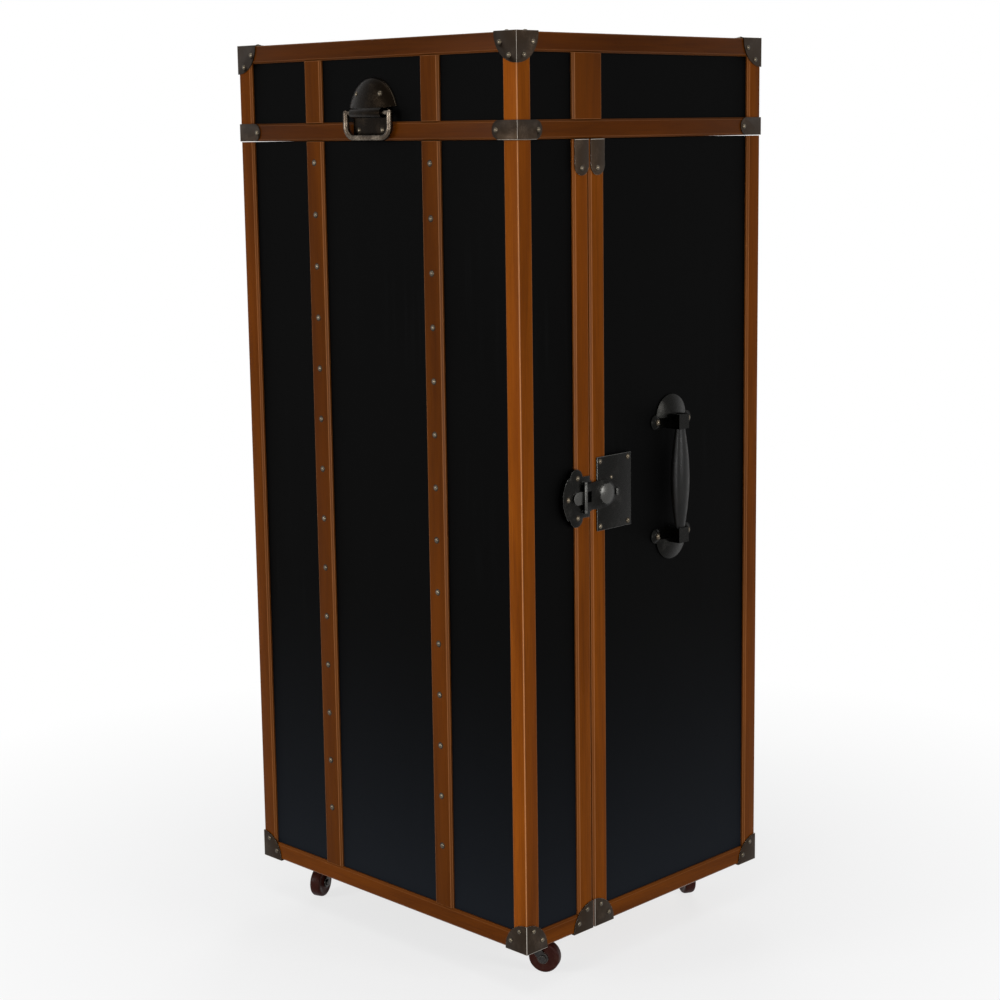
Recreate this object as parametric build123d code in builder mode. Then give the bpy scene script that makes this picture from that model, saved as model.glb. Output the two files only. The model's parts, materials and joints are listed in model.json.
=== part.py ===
from build123d import *
from math import asin, cos, pi, radians, sin
import os

# A tall desk trunk on casters. Its front third is a door that swings on the left edge,
# its lid lifts on the rear edge, and behind the door are a writing leaf and drawers.
# Millimetres, +Z up, the door faces -Y, and the floor is at Z = 0.

# Outside of the trunk
case_width = 643.0
case_depth = 570.0
case_height = 1400.0
floor_gap = 70.0
lid_height = 154.5
lid_gap = 1.0
door_depth = 152.0
door_gap = 3.5

# Panels and the wooden bands that stand out from them
board = 12.0
band = 6.0
band_chamfer = 3.0
band_ease = 1.2
corner_band = 30.0
split_band = 32.0
bottom_band = 29.0
lid_band = 28.5
slat = 40.0
slat_offset = 135.5
lid_side_slat = 64.0
border_edge = 0.01

# Sheet metal corners and straps, their domed rivets and the slat nails
metal = 1.5
cap_reach = 45.0
cap_rivet_near = 14.5
cap_rivet_far = 33.5
strap_reach = 51.0
strap_rivet = 43.0
stile_strap_length = 54.0
stile_strap_rivet = 43.0
rivet_radius = 3.8
rivet_height = 2.2
nail_radius = 4.2
nail_height = 2.6
nail_count = 14
nail_first = 1211.0
nail_last = 130.0

# Hinges of the door and the lid
pin_radius = 2.5
knuckle_radius = 4.5
hinge_plate = 2.0
running_gap = 0.08
side_gap = 0.4
door_hinge_length = 76.0
door_hinge_leaf = 26.0
door_hinge_heights = (250.0, 690.0, 1080.0)
lid_hinge_length = 36.0
lid_hinge_leaf = 24.0

# Latch on the right side: catch plate and hasp on the door, lock plate on the case
latch_height = 701.0
latch_proud = 2.5
catch_reach = 64.0
catch_half = 45.0
catch_mouth = 23.5
catch_rivet_side = 31.0
catch_rivet_inset = 11.8
catch_lobe_y = 34.0
catch_lobe_radius = 14.0
catch_neck = 12.0
catch_belly_radius = 54.0
catch_belly_half = 32.0
lock_inset = 9.5
lock_width = 79.0
lock_length = 116.0
lock_rivet_inset = 7.0
hasp_pivot_inset = 18.8
hasp_length = 84.0
hasp_half = 20.0
hasp_belly = 22.0
hasp_sheet = 3.0
hasp_lift = 0.5
hasp_knuckle = 3.0
hasp_rise = 5.0
hasp_pin_radius = 1.5
hasp_ear = 4.0
hasp_ear_foot = 4.8
hasp_belly_at = 29.4
hasp_shoulder = (68.9, 13.2)
hasp_dome_at = 50.4
hasp_roll_at = 73.9
hasp_window = 10.0
hasp_window_width = 17.0
hasp_window_inset = 5.4
hasp_dome_radius = 19.0
hasp_dome_height = 4.0
hasp_roll = 2.4
tongue_length = 21.0
tongue_half = 10.0
tongue_height = 3.8

# Carrying handles, one on each side of the case
handle_shift = 13.0
handle_height = 704.0
handle_span = 185.0
handle_axis = 15.0
grip_width = 38.0
grip_depth = 24.0
grip_end_width = 19.0
grip_end_depth = 12.0
grip_shoulder = 2.0
mount_sheet = 2.0
mount_ears = 98.0
mount_bar = 24.0
paddle_radius = 36.0
paddle_dome = 7.0
ear_radius = 10.5
ear_dome = 5.0
loop_wall = 2.0
seat_gap = 0.3

# Drop handle on the front of the lid
bail_x = 5.0
bail_axis_height = 1288.0
bail_axis_proud = 7.6
bail_width = 101.0
bail_clear = 0.6
bail_wire = 4.9
bail_rod = 3.4
bail_corner = 18.0
sleeve_radius = 7.9
sleeve_length = 70.0
hood_rise = 2.6
hood_sag = 5.0
hood_heights = (-5.0, 11.0, 22.0, 31.0, 38.0, 42.0, 43.5)
hood_halves = (56.0, 49.5, 43.0, 35.0, 25.0, 14.5, 6.0)
hood_reaches = (17.5, 16.0, 14.2, 11.8, 9.0, 6.2, 3.8)
apron_width = 80.0
apron_sheet = 2.0
apron_corner = 6.0
apron_hollow = 120.0
apron_rivet_half = 27.0
apron_rivet_rise = 16.0

# Casters
wheel_radius = 25.4
wheel_width = 19.0
wheel_round = 4.0
axle_radius = 4.0
axle_head_radius = 5.5
axle_head = 3.0
caster_inset_x = 73.5
caster_inset_y = 80.0
caster_trail = 27.0
caster_plate = 2.5
caster_plate_size = 56.0
caster_drop = 5.2
race_radius = 18.0
king_radius = 5.0
king_head_radius = 8.0
king_head = 2.4
crown_sheet = 2.6
fork_sheet = 2.4
fork_gap = 1.2
fork_foot = 9.0
fork_neck = 10.8
caster_turns = {"front_right": 26.0, "front_left": -68.0, "rear_right": 152.0, "rear_left": -162.0}

# Writing leaf and the room behind it
desk_height = 740.0
desk_board = 16.0
leaf_board = 16.0
leaf_length = 400.0
leaf_side_gap = 3.0
leaf_recess = 1.0
leaf_pin = 1.5
leaf_knuckle = 3.0
leaf_hinge_face = 3.5
leaf_hinge_plate = 1.5
leaf_hinge_leaf = 14.0
leaf_hinge_length = 60.0
leaf_hinge_offset = 200.0
leather_sheet = 1.0
leather_margin = 32.0
leaf_knob_inset = 32.0
shelf_board = 14.0
tray_gap = 3.5
pigeonhole_depth = 205.0
pigeonhole_height = 200.0
pigeonhole_columns = 4
partition = 10.0

# Lopers that slide out to carry the open leaf
loper_height = 20.0
loper_width = 16.0
loper_room = 25.5
slide_gap = 0.3

# Drawers under the desk, from the top down, and turned knobs
drawer_shares = (0.24, 0.28, 0.48)
drawer_side = 10.0
drawer_floor = 6.0
drawer_room = 9.5
drawer_gap = 1.5
drawer_wall_drop = 14.0
knob_offset = 150.0
knob_radius = 9.0
knob_reach = 21.0
knob_neck = 5.0

# Shelves inside the door
door_shelf_heights = (290.0, 510.0, 880.0, 1160.0)
door_shelf_depth = 60.0
door_shelf_board = 10.0
lip_height = 22.0
lip_board = 5.0

# Places that follow from the sizes
front_reach = bail_axis_proud + sleeve_radius
back_reach = 2 * knuckle_radius
case_y = (front_reach - back_reach) / 2
right = case_width / 2
front = case_y - case_depth / 2
back = case_y + case_depth / 2
door_back = front + door_depth
case_front = door_back + door_gap
base = floor_gap
top = floor_gap + case_height
lid_base = top - lid_height
body_top = lid_base - lid_gap
panel_x = right - band
panel_front = front + band
panel_back = back - band
inner_x = panel_x - board
door_inner = panel_front + board
case_inner = panel_back - board
floor_top = base + board
door_split_middle = door_back - split_band / 2
case_split_middle = case_front + split_band / 2
leaf_outer = case_front + leaf_recess
leaf_inner = leaf_outer + leaf_board
drawer_length = case_inner - drawer_room - leaf_inner
loper_length = case_inner - loper_room - leaf_outer
leaf_low = desk_height + leaf_hinge_face
leaf_high = leaf_low + leaf_length
leaf_half = inner_x - leaf_side_gap
desk_front = leaf_inner + leaf_hinge_face
tray_low = leaf_high + tray_gap
tray_floor_top = tray_low + shelf_board
loper_top = desk_height - desk_board - slide_gap
loper_low = loper_top - loper_height
loper_shelf_top = loper_low - slide_gap
latch_z = base + latch_height
hasp_x = right + latch_proud + hasp_rise
hasp_y = door_back - hasp_pivot_inset
handle_y = (case_front + back) / 2 - handle_shift
handle_z = base + handle_height
grip_x = right + handle_axis
bail_axis_y = front - bail_axis_proud
bail_axis_z = base + bail_axis_height
caster_x = right - caster_inset_x
caster_y = case_depth / 2 - caster_inset_y
crown_low = 2 * wheel_radius + caster_drop
crown_top = crown_low + crown_sheet

X, Y, Z = (1, 0, 0), (0, 1, 0), (0, 0, 1)


def back_of(direction):
    """The opposite direction."""
    return tuple(-part for part in direction)


def save(label, *pieces):
    """Labels one node and writes it. Its pieces stay separate solids."""
    solids = [solid for piece in pieces for solid in piece.solids()]
    node = solids[0] if len(solids) == 1 else Compound(children=solids)
    node.label = label
    export_step(node, f"parts/{label}.step")


def panel(low, high):
    """A rectangular board between two opposite corners."""
    size = [b - a for a, b in zip(low, high)]
    with BuildPart() as sheet:
        with Locations(low):
            Box(*size, align=(Align.MIN, Align.MIN, Align.MIN))
    return sheet.part


def band_bar(start, along, outward, width, length, cuts=(band_chamfer, band_chamfer)):
    """A wooden band on a panel. Start is the middle of its foot, cuts are its two long edges."""
    across = Vector(*outward).cross(Vector(*along))
    half = width / 2
    near, far = cuts
    with BuildPart() as bar:
        with BuildSketch(Plane(origin=start, x_dir=across, z_dir=along)):
            Polygon(
                (-half, 0),
                (half, 0),
                (half, band - far),
                (half - far, band),
                (near - half, band),
                (-half, band - near),
                align=None,
            )
        extrude(amount=length)
    return bar.part


def corner_bar(side, corner_y, inward_y, low, high):
    """A wooden angle that wraps one upright corner."""
    legs = [
        (band_ease, 0),
        (corner_band - band_chamfer, 0),
        (corner_band, band_chamfer),
        (corner_band, band),
        (band, band),
        (band, corner_band),
        (band_chamfer, corner_band),
        (0, corner_band - band_chamfer),
        (0, band_ease),
    ]
    outline = [(side * (right - across), corner_y + inward_y * along) for across, along in legs]
    with BuildPart() as bar:
        with BuildSketch(Plane.XY.offset(low)):
            Polygon(*outline, align=None)
        extrude(amount=high - low)
    return bar.part


def slats_on(face_y, outward_y, low, high):
    """The two upright slats on the front or the back."""
    return [
        band_bar((side * slat_offset, face_y, low), Z, (0, outward_y, 0), slat, high - low)
        for side in (-1, 1)
    ]


def dome(radius, height):
    """A low domed head, standing on the XY plane."""
    ball = (radius**2 + height**2) / (2 * height)
    half_turn = asin(radius / ball) / 2
    middle = (ball * sin(half_turn), height - ball + ball * cos(half_turn))
    with BuildPart() as head:
        with BuildSketch(Plane.XZ):
            with BuildLine():
                Line((0, 0), (radius, 0))
                ThreePointArc((radius, 0), middle, (0, height))
                Line((0, height), (0, 0))
            make_face()
        revolve(axis=Axis.Z)
    return head.part


def heads(radius, height, places):
    """Domed heads at places, each a point and the direction that it faces."""
    head = dome(radius, height)
    with BuildPart() as group:
        for point, outward in places:
            with Locations(Plane(origin=point, z_dir=outward).location):
                add(head)
    return group.part


def cap_disc(corner, inward, axis, wraps):
    """The quarter disc of a corner cap on the face that looks along one axis."""
    span = [cap_reach + metal * wrap for wrap in wraps]
    middle = [c + i * (cap_reach - metal * wrap) / 2 for c, i, wrap in zip(corner, inward, wraps)]
    span[axis] = metal
    middle[axis] = corner[axis] - inward[axis] * metal / 2
    with BuildPart() as disc:
        with Locations(Plane(origin=corner, z_dir=(X, Y, Z)[axis]).location):
            Cylinder(cap_reach, 4 * metal)
        with Locations(tuple(middle)):
            Box(*span, mode=Mode.INTERSECT)
    return disc.part


def corner_cap(corner, inward, wraps=(1, 1, 1)):
    """Sheet metal round a corner, with a quarter disc on each face that it wraps."""
    discs = [cap_disc(corner, inward, axis, wraps) for axis in range(3) if wraps[axis]]
    with BuildPart() as cap:
        for disc in discs:
            add(disc)
    return cap.part


def cap_rivets(corner, inward, faces):
    """Two rivet places on each named face of a corner cap."""
    places = []
    for axis in faces:
        first, second = [other for other in range(3) if other != axis]
        outward = [0, 0, 0]
        outward[axis] = -inward[axis]
        for near, far in ((cap_rivet_near, cap_rivet_far), (cap_rivet_far, cap_rivet_near)):
            point = list(corner)
            point[axis] -= inward[axis] * metal
            point[first] += inward[first] * near
            point[second] += inward[second] * far
            places.append((tuple(point), tuple(outward)))
    return places


def strap_leg(plane, length, width):
    """A flat strap along the plane's X, square at its start and round at its end."""
    straight = length - width / 2
    with BuildPart() as leg:
        with BuildSketch(plane):
            with Locations((straight / 2, 0)):
                Rectangle(straight, width)
            with Locations((straight, 0)):
                Circle(width / 2)
        extrude(amount=metal)
    return leg.part


def lid_strap(side, face_y, facing):
    """A strap round a lower corner of the lid. Facing is -1 at the front and 1 at the back."""
    corner = (side * right, face_y, lid_base + lid_band / 2)
    face_leg = Plane(origin=corner, x_dir=(-side, 0, 0), z_dir=(0, facing, 0))
    side_leg = Plane(origin=corner, x_dir=(0, -facing, 0), z_dir=(side, 0, 0))
    legs = [strap_leg(plane, strap_reach, lid_band) for plane in (face_leg, side_leg)]
    with BuildPart() as strap:
        for leg in legs:
            add(leg)
        with Locations((side * (right + metal / 2), face_y + facing * metal / 2, corner[2])):
            Box(metal, metal, lid_band)
    return strap.part


def stile_strap(side, middle_y):
    """A strap down the head of a split stile."""
    head = Plane(origin=(side * right, middle_y, body_top), x_dir=back_of(Z), z_dir=(side, 0, 0))
    return strap_leg(head, stile_strap_length, split_band - band_ease)


def stile_strap_place(side, middle_y):
    """Where the rivet of a stile strap stands."""
    return (side * (right + metal), middle_y, body_top - stile_strap_rivet), (side, 0, 0)


def hinge_half(plane, length, leaf, fixed, knuckle, face, sheet, pin):
    """Half of a hinge. Its pin is along the plane's Z and its seat lies at X = face.

    The fixed half has the two outer knuckles and runs towards +Y, the moving half the
    middle one, and runs towards -Y.
    """
    third = length / 3
    toward = 1 if fixed else -1
    bore = pin if fixed else pin + running_gap
    spans = [(-third / 2, third / 2)]
    if fixed:
        spans = [(-length / 2, -third / 2 - side_gap), (third / 2 + side_gap, length / 2)]
    with BuildPart(plane) as half:
        with Locations((face - sheet / 2, toward * leaf / 2, 0)):
            Box(sheet, leaf, length)
        Cylinder(knuckle + side_gap, length, mode=Mode.SUBTRACT)
        for low, high in spans:
            middle = (low + high) / 2
            with Locations((0, 0, middle)):
                Cylinder(knuckle, high - low)
            with Locations((face - sheet / 2, toward * (knuckle + sheet) / 2, middle)):
                Box(sheet, knuckle + sheet, high - low)
            with Locations((0, 0, middle)):
                Cylinder(bore, high - low, mode=Mode.SUBTRACT)
    return half.part


def hinge_pin(plane, length, radius):
    """The pin of a hinge, along the plane's Z."""
    with BuildPart(plane) as pin:
        Cylinder(radius, length)
    return pin.part


def knob(origin):
    """A turned knob that faces -Y."""
    with BuildPart(Plane(origin=origin, z_dir=back_of(Y))) as turned:
        Cylinder(knob_neck, knob_reach - knob_radius, align=(Align.CENTER, Align.CENTER, Align.MIN))
        with Locations((0, 0, knob_reach - knob_radius)):
            Sphere(knob_radius)
    return turned.part


def make_case():
    """The rear two thirds: its panels, wooden bands and corner metal."""
    save(
        "case_walls",
        panel((-panel_x, case_front, base), (-inner_x, case_inner, body_top)),
        panel((inner_x, case_front, base), (panel_x, case_inner, body_top)),
        panel((-panel_x, case_inner, base), (panel_x, panel_back, body_top)),
    )
    save("case_floor", panel((-inner_x, case_front, base), (inner_x, case_inner, floor_top)))

    stiles = slats_on(panel_back, 1, base + bottom_band, body_top)
    back_rail = (corner_band - right, panel_back, base + bottom_band / 2)
    rails = [band_bar(back_rail, X, Y, bottom_band, case_width - 2 * corner_band)]
    brackets, rivets = [], []
    for side in (-1, 1):
        outward = (side, 0, 0)
        rail_low, rail_high = case_front + split_band, back - corner_band
        stiles.append(corner_bar(side, back, -1, base, body_top))
        stiles.append(
            band_bar((side * panel_x, case_split_middle, base), Z, outward, split_band, body_top - base)
        )
        rail_start = (side * panel_x, rail_low, base + bottom_band / 2)
        rails.append(band_bar(rail_start, Y, outward, bottom_band, rail_high - rail_low))
        rear, split_foot = (side * right, back, base), (side * right, case_front, base)
        brackets.append(corner_cap(rear, (-side, -1, 1)))
        brackets.append(corner_cap(split_foot, (-side, 1, 1), wraps=(1, 0, 1)))
        brackets.append(stile_strap(side, case_split_middle))
        rivets += cap_rivets(rear, (-side, -1, 1), (0, 1))
        rivets += cap_rivets(split_foot, (-side, 1, 1), (0,))
        rivets.append(stile_strap_place(side, case_split_middle))
    save("case_stiles", *stiles)
    save("case_rails", *rails)
    save("case_brackets", *brackets)

    lock_face = right + latch_proud
    lock_left = case_front + lock_inset
    for y in (lock_left + lock_rivet_inset, lock_left + lock_width - lock_rivet_inset):
        for z in (-1, 1):
            point = (lock_face, y, latch_z + z * (lock_length / 2 - lock_rivet_inset))
            rivets.append((point, X))
    save("case_rivets", heads(rivet_radius, rivet_height, rivets))


def make_desk():
    """The desk top, the pigeonholes, the tray over them and the boards between the drawers."""
    save(
        "desk_top",
        panel((-inner_x, desk_front, desk_height - desk_board), (inner_x, case_inner, desk_height)),
    )
    save(
        "lid_tray",
        panel((-inner_x, case_front, tray_low), (inner_x, case_inner, tray_floor_top)),
        panel((-inner_x, case_front, tray_floor_top), (inner_x, case_front + board, body_top)),
    )

    hole_front = case_inner - pigeonhole_depth
    shelf_low = desk_height + pigeonhole_height
    boards = [panel((-inner_x, hole_front, shelf_low), (inner_x, case_inner, shelf_low + partition))]
    column = 2 * inner_x / pigeonhole_columns
    for count in range(1, pigeonhole_columns):
        middle = -inner_x + count * column
        boards.append(
            panel(
                (middle - partition / 2, hole_front, desk_height),
                (middle + partition / 2, case_inner, shelf_low),
            )
        )
    boards.append(
        panel((-partition / 2, hole_front, shelf_low + partition), (partition / 2, case_inner, tray_low))
    )
    save("pigeonholes", *boards)

    guide_outer = inner_x - loper_width - 2 * slide_gap
    guide_inner = guide_outer - partition
    boards = [
        panel((-inner_x, leaf_outer, level - partition), (inner_x, case_inner, level))
        for level in [loper_shelf_top] + [bay_top - height for bay_top, height in drawer_bays()[:-1]]
    ]
    boards.append(
        panel(
            (-guide_inner, leaf_outer, loper_shelf_top),
            (guide_inner, leaf_inner, loper_top),
        )
    )
    for side in (-1, 1):
        low_x, high_x = sorted((side * guide_inner, side * guide_outer))
        boards.append(
            panel(
                (low_x, leaf_inner, loper_shelf_top),
                (high_x, leaf_inner + loper_length, desk_height - desk_board),
            )
        )
    save("drawer_dividers", *boards)


def drawer_bays():
    """The top and the height of the room for each drawer, from the top down."""
    room = loper_shelf_top - partition - floor_top - (len(drawer_shares) - 1) * partition
    level = loper_shelf_top - partition
    bays = []
    for share in drawer_shares:
        bays.append((level, room * share))
        level -= room * share + partition
    return bays


def make_drawers():
    """Three drawers, each with an inset front, a box of boards and two knobs."""
    for number, (bay_top, height) in enumerate(drawer_bays(), start=1):
        low = bay_top - height + slide_gap
        high = bay_top - drawer_gap
        half = inner_x - drawer_gap
        box_back = leaf_inner + drawer_length
        wall_top = high - drawer_wall_drop
        save(
            f"drawer_{number}",
            panel((-half, leaf_outer, low), (half, leaf_inner, high)),
            panel((-half, leaf_inner, low), (half, box_back, low + drawer_floor)),
            panel((-half, leaf_inner, low + drawer_floor), (drawer_side - half, box_back, wall_top)),
            panel((half - drawer_side, leaf_inner, low + drawer_floor), (half, box_back, wall_top)),
            panel(
                (drawer_side - half, box_back - drawer_side, low + drawer_floor),
                (half - drawer_side, box_back, wall_top),
            ),
        )
        middle = (low + high) / 2
        knobs = [knob((side * knob_offset, leaf_outer, middle)) for side in (-1, 1)]
        save(f"drawer_{number}_knobs", *knobs)


def make_lopers():
    """The two sliding bars that come out under the open leaf."""
    outer = inner_x - slide_gap
    inner = outer - loper_width
    for name, side in (("left", -1), ("right", 1)):
        low_x, high_x = sorted((side * inner, side * outer))
        save(
            f"loper_{name}",
            panel((low_x, leaf_outer, loper_low), (high_x, leaf_outer + loper_length, loper_top)),
        )


def make_leaf():
    """The writing leaf, shut, with its leather, knob and hinges."""
    with BuildPart() as leaf:
        with Locations((0, (leaf_outer + leaf_inner) / 2, (leaf_low + leaf_high) / 2)):
            Box(2 * leaf_half, leaf_board, leaf_length)
        with Locations((0, leaf_inner, (leaf_low + leaf_high) / 2)):
            Box(
                2 * (leaf_half - leather_margin),
                2 * leather_sheet,
                leaf_length - 2 * leather_margin,
                mode=Mode.SUBTRACT,
            )
    save("writing_leaf", leaf.part)
    save(
        "leaf_leather",
        panel(
            (leather_margin - leaf_half, leaf_inner - leather_sheet, leaf_low + leather_margin),
            (leaf_half - leather_margin, leaf_inner, leaf_high - leather_margin),
        ),
    )
    save("leaf_knob", knob((0, leaf_outer, leaf_high - leaf_knob_inset)))
    fixed, moving = [], []
    sizes = (leaf_knuckle, leaf_hinge_face, leaf_hinge_plate, leaf_pin)
    for x in (-leaf_hinge_offset, 0, leaf_hinge_offset):
        pivot = (x, leaf_inner, desk_height)
        desk_side = Plane(origin=pivot, x_dir=Y, z_dir=back_of(X))
        leaf_side = Plane(origin=pivot, x_dir=Z, z_dir=back_of(X))
        fixed.append(hinge_half(desk_side, leaf_hinge_length, leaf_hinge_leaf, True, *sizes))
        fixed.append(hinge_pin(desk_side, leaf_hinge_length, leaf_pin))
        moving.append(hinge_half(leaf_side, leaf_hinge_length, leaf_hinge_leaf, False, *sizes))
    save("leaf_hinges_fixed", *fixed)
    save("leaf_hinges_moving", *moving)


def make_door():
    """The front third: its panel, walls, bands, metal and shelves."""
    save("door_panel", panel((-panel_x, panel_front, base), (panel_x, door_inner, body_top)))
    save(
        "door_walls",
        panel((-panel_x, door_inner, base), (-inner_x, door_back, body_top)),
        panel((inner_x, door_inner, base), (panel_x, door_back, body_top)),
        panel((-inner_x, door_inner, base), (inner_x, door_back, floor_top)),
        panel((-inner_x, door_inner, body_top - board), (inner_x, door_back, body_top)),
    )
    save("door_slats", *slats_on(panel_front, -1, base + bottom_band, body_top))

    stiles, brackets, rivets = [], [], []
    front_rail = (corner_band - right, panel_front, base + bottom_band / 2)
    rails = [band_bar(front_rail, X, back_of(Y), bottom_band, case_width - 2 * corner_band)]
    for side in (-1, 1):
        outward = (side, 0, 0)
        rail_low, rail_high = front + corner_band, door_back - split_band
        stiles.append(corner_bar(side, front, 1, base, body_top))
        stiles.append(
            band_bar((side * panel_x, door_split_middle, base), Z, outward, split_band, body_top - base)
        )
        rail_start = (side * panel_x, rail_low, base + bottom_band / 2)
        rails.append(band_bar(rail_start, Y, outward, bottom_band, rail_high - rail_low))
        foot, split_foot = (side * right, front, base), (side * right, door_back, base)
        brackets.append(corner_cap(foot, (-side, 1, 1)))
        brackets.append(corner_cap(split_foot, (-side, -1, 1), wraps=(1, 0, 1)))
        brackets.append(stile_strap(side, door_split_middle))
        rivets += cap_rivets(foot, (-side, 1, 1), (0, 1))
        rivets += cap_rivets(split_foot, (-side, -1, 1), (0,))
        rivets.append(stile_strap_place(side, door_split_middle))
    save("door_stiles", *stiles)
    save("door_rails", *rails)
    save("door_brackets", *brackets)

    catch_face = right + latch_proud
    rivets.append(((catch_face, door_back - catch_reach + catch_rivet_inset, latch_z), X))
    for z in (-catch_rivet_side, catch_rivet_side):
        rivets.append(((catch_face, door_back - catch_rivet_side, latch_z + z), X))
    save("door_rivets", heads(rivet_radius, rivet_height, rivets))

    step = (nail_first - nail_last) / (nail_count - 1)
    nails = [
        ((side * slat_offset, front, base + nail_last + count * step), back_of(Y))
        for side in (-1, 1)
        for count in range(nail_count)
    ]
    save("door_nails", heads(nail_radius, nail_height, nails))

    shelves = []
    shelf_edge = door_inner + door_shelf_depth
    for height in door_shelf_heights:
        shelves.append(
            panel((-inner_x, door_inner, height - door_shelf_board), (inner_x, shelf_edge, height))
        )
        shelves.append(
            panel((-inner_x, shelf_edge - lip_board, height), (inner_x, shelf_edge, height + lip_height))
        )
    save("door_shelves", *shelves)


def side_runs(inset):
    """The four sides of the lid in order, each a start, a direction, an outward and a length."""
    return [
        ((inset - right, panel_front), X, back_of(Y), case_width - 2 * inset),
        ((panel_x, front + inset), Y, X, case_depth - 2 * inset),
        ((right - inset, panel_back), back_of(X), Y, case_width - 2 * inset),
        ((-panel_x, back - inset), back_of(Y), back_of(X), case_depth - 2 * inset),
    ]


def make_lid():
    """The lid: an open box with bands round every edge."""
    board_low = top - band - board
    save("lid_top_panel", panel((-panel_x, panel_front, board_low), (panel_x, panel_back, top - band)))
    save(
        "lid_walls",
        panel((-panel_x, panel_front, lid_base), (panel_x, door_inner, board_low)),
        panel((-panel_x, case_inner, lid_base), (panel_x, panel_back, board_low)),
        panel((-panel_x, door_inner, lid_base), (-inner_x, case_inner, board_low)),
        panel((inner_x, door_inner, lid_base), (panel_x, case_inner, board_low)),
    )

    low, high = lid_base + lid_band, top - lid_band
    stiles = slats_on(panel_front, -1, low, high) + slats_on(panel_back, 1, low, high)
    side_slat_y = door_back - split_band + lid_side_slat / 2
    for side in (-1, 1):
        stiles.append(corner_bar(side, front, 1, lid_base, top))
        stiles.append(corner_bar(side, back, -1, lid_base, top))
        stiles.append(
            band_bar((side * panel_x, side_slat_y, low), Z, (side, 0, 0), lid_side_slat, high - low)
        )
    save("lid_stiles", *stiles)

    rails = []
    for (x, y), along, outward, length in side_runs(corner_band):
        rails.append(
            band_bar((x, y, lid_base + lid_band / 2), along, outward, lid_band, length)
        )
        rails.append(
            band_bar(
                (x, y, top - lid_band / 2), along, outward, lid_band, length, cuts=(band_chamfer, band_ease)
            )
        )
    border = corner_band - band
    border_cuts = (border_edge, band_chamfer)
    for face_y, along, inward in ((panel_front, X, 1), (panel_back, back_of(X), -1)):
        start = (-along[0] * panel_x, face_y + inward * border / 2, top - band)
        rails.append(band_bar(start, along, Z, border, 2 * panel_x, cuts=border_cuts))
    for side, along in ((1, Y), (-1, back_of(Y))):
        start_y = front + corner_band if side > 0 else back - corner_band
        start = (side * (panel_x - border / 2), start_y, top - band)
        rails.append(band_bar(start, along, Z, border, case_depth - 2 * corner_band, cuts=border_cuts))
    for side in (-1, 1):
        start = (side * slat_offset, front + corner_band, top - band)
        rails.append(band_bar(start, Y, Z, slat, case_depth - 2 * corner_band))
    save("lid_rails", *rails)

    brackets, rivets = [], []
    for side in (-1, 1):
        for face_y, facing in ((front, -1), (back, 1)):
            corner, inward = (side * right, face_y, top), (-side, -facing, -1)
            brackets.append(corner_cap(corner, inward))
            brackets.append(lid_strap(side, face_y, facing))
            rivets += cap_rivets(corner, inward, (0, 1, 2))
            strap_z = lid_base + lid_band / 2
            on_face = (side * (right - strap_rivet), face_y + facing * metal, strap_z)
            on_side = (side * (right + metal), face_y - facing * strap_rivet, strap_z)
            rivets.append((on_face, (0, facing, 0)))
            rivets.append((on_side, (side, 0, 0)))
    save("lid_brackets", *brackets)
    for side in (-1, 1):
        place = (bail_x + side * apron_rivet_half, front - apron_sheet, lid_base + apron_rivet_rise)
        rivets.append((place, back_of(Y)))
    save("lid_rivets", heads(rivet_radius, rivet_height, rivets))


def make_hinges():
    """The hinges of the door, on its left edge, and of the lid, on its rear edge."""
    sizes = (knuckle_radius, knuckle_radius, hinge_plate, pin_radius)
    fixed, moving = [], []
    split_y = (door_back + case_front) / 2
    for height in door_hinge_heights:
        plane = Plane(origin=(-right - knuckle_radius, split_y, base + height), x_dir=X, z_dir=Z)
        fixed.append(hinge_half(plane, door_hinge_length, door_hinge_leaf, True, *sizes))
        fixed.append(hinge_pin(plane, door_hinge_length, pin_radius))
        moving.append(hinge_half(plane, door_hinge_length, door_hinge_leaf, False, *sizes))
    save("door_hinges_fixed", *fixed)
    save("door_hinges_moving", *moving)

    fixed, moving = [], []
    seam = (lid_base + body_top) / 2
    for side in (-1, 1):
        plane = Plane(
            origin=(side * slat_offset, back + knuckle_radius, seam), x_dir=back_of(Y), z_dir=X
        )
        fixed.append(hinge_half(plane, lid_hinge_length, lid_hinge_leaf, True, *sizes))
        fixed.append(hinge_pin(plane, lid_hinge_length, pin_radius))
        moving.append(hinge_half(plane, lid_hinge_length, lid_hinge_leaf, False, *sizes))
    save("lid_hinges_fixed", *fixed)
    save("lid_hinges_moving", *moving)


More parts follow.
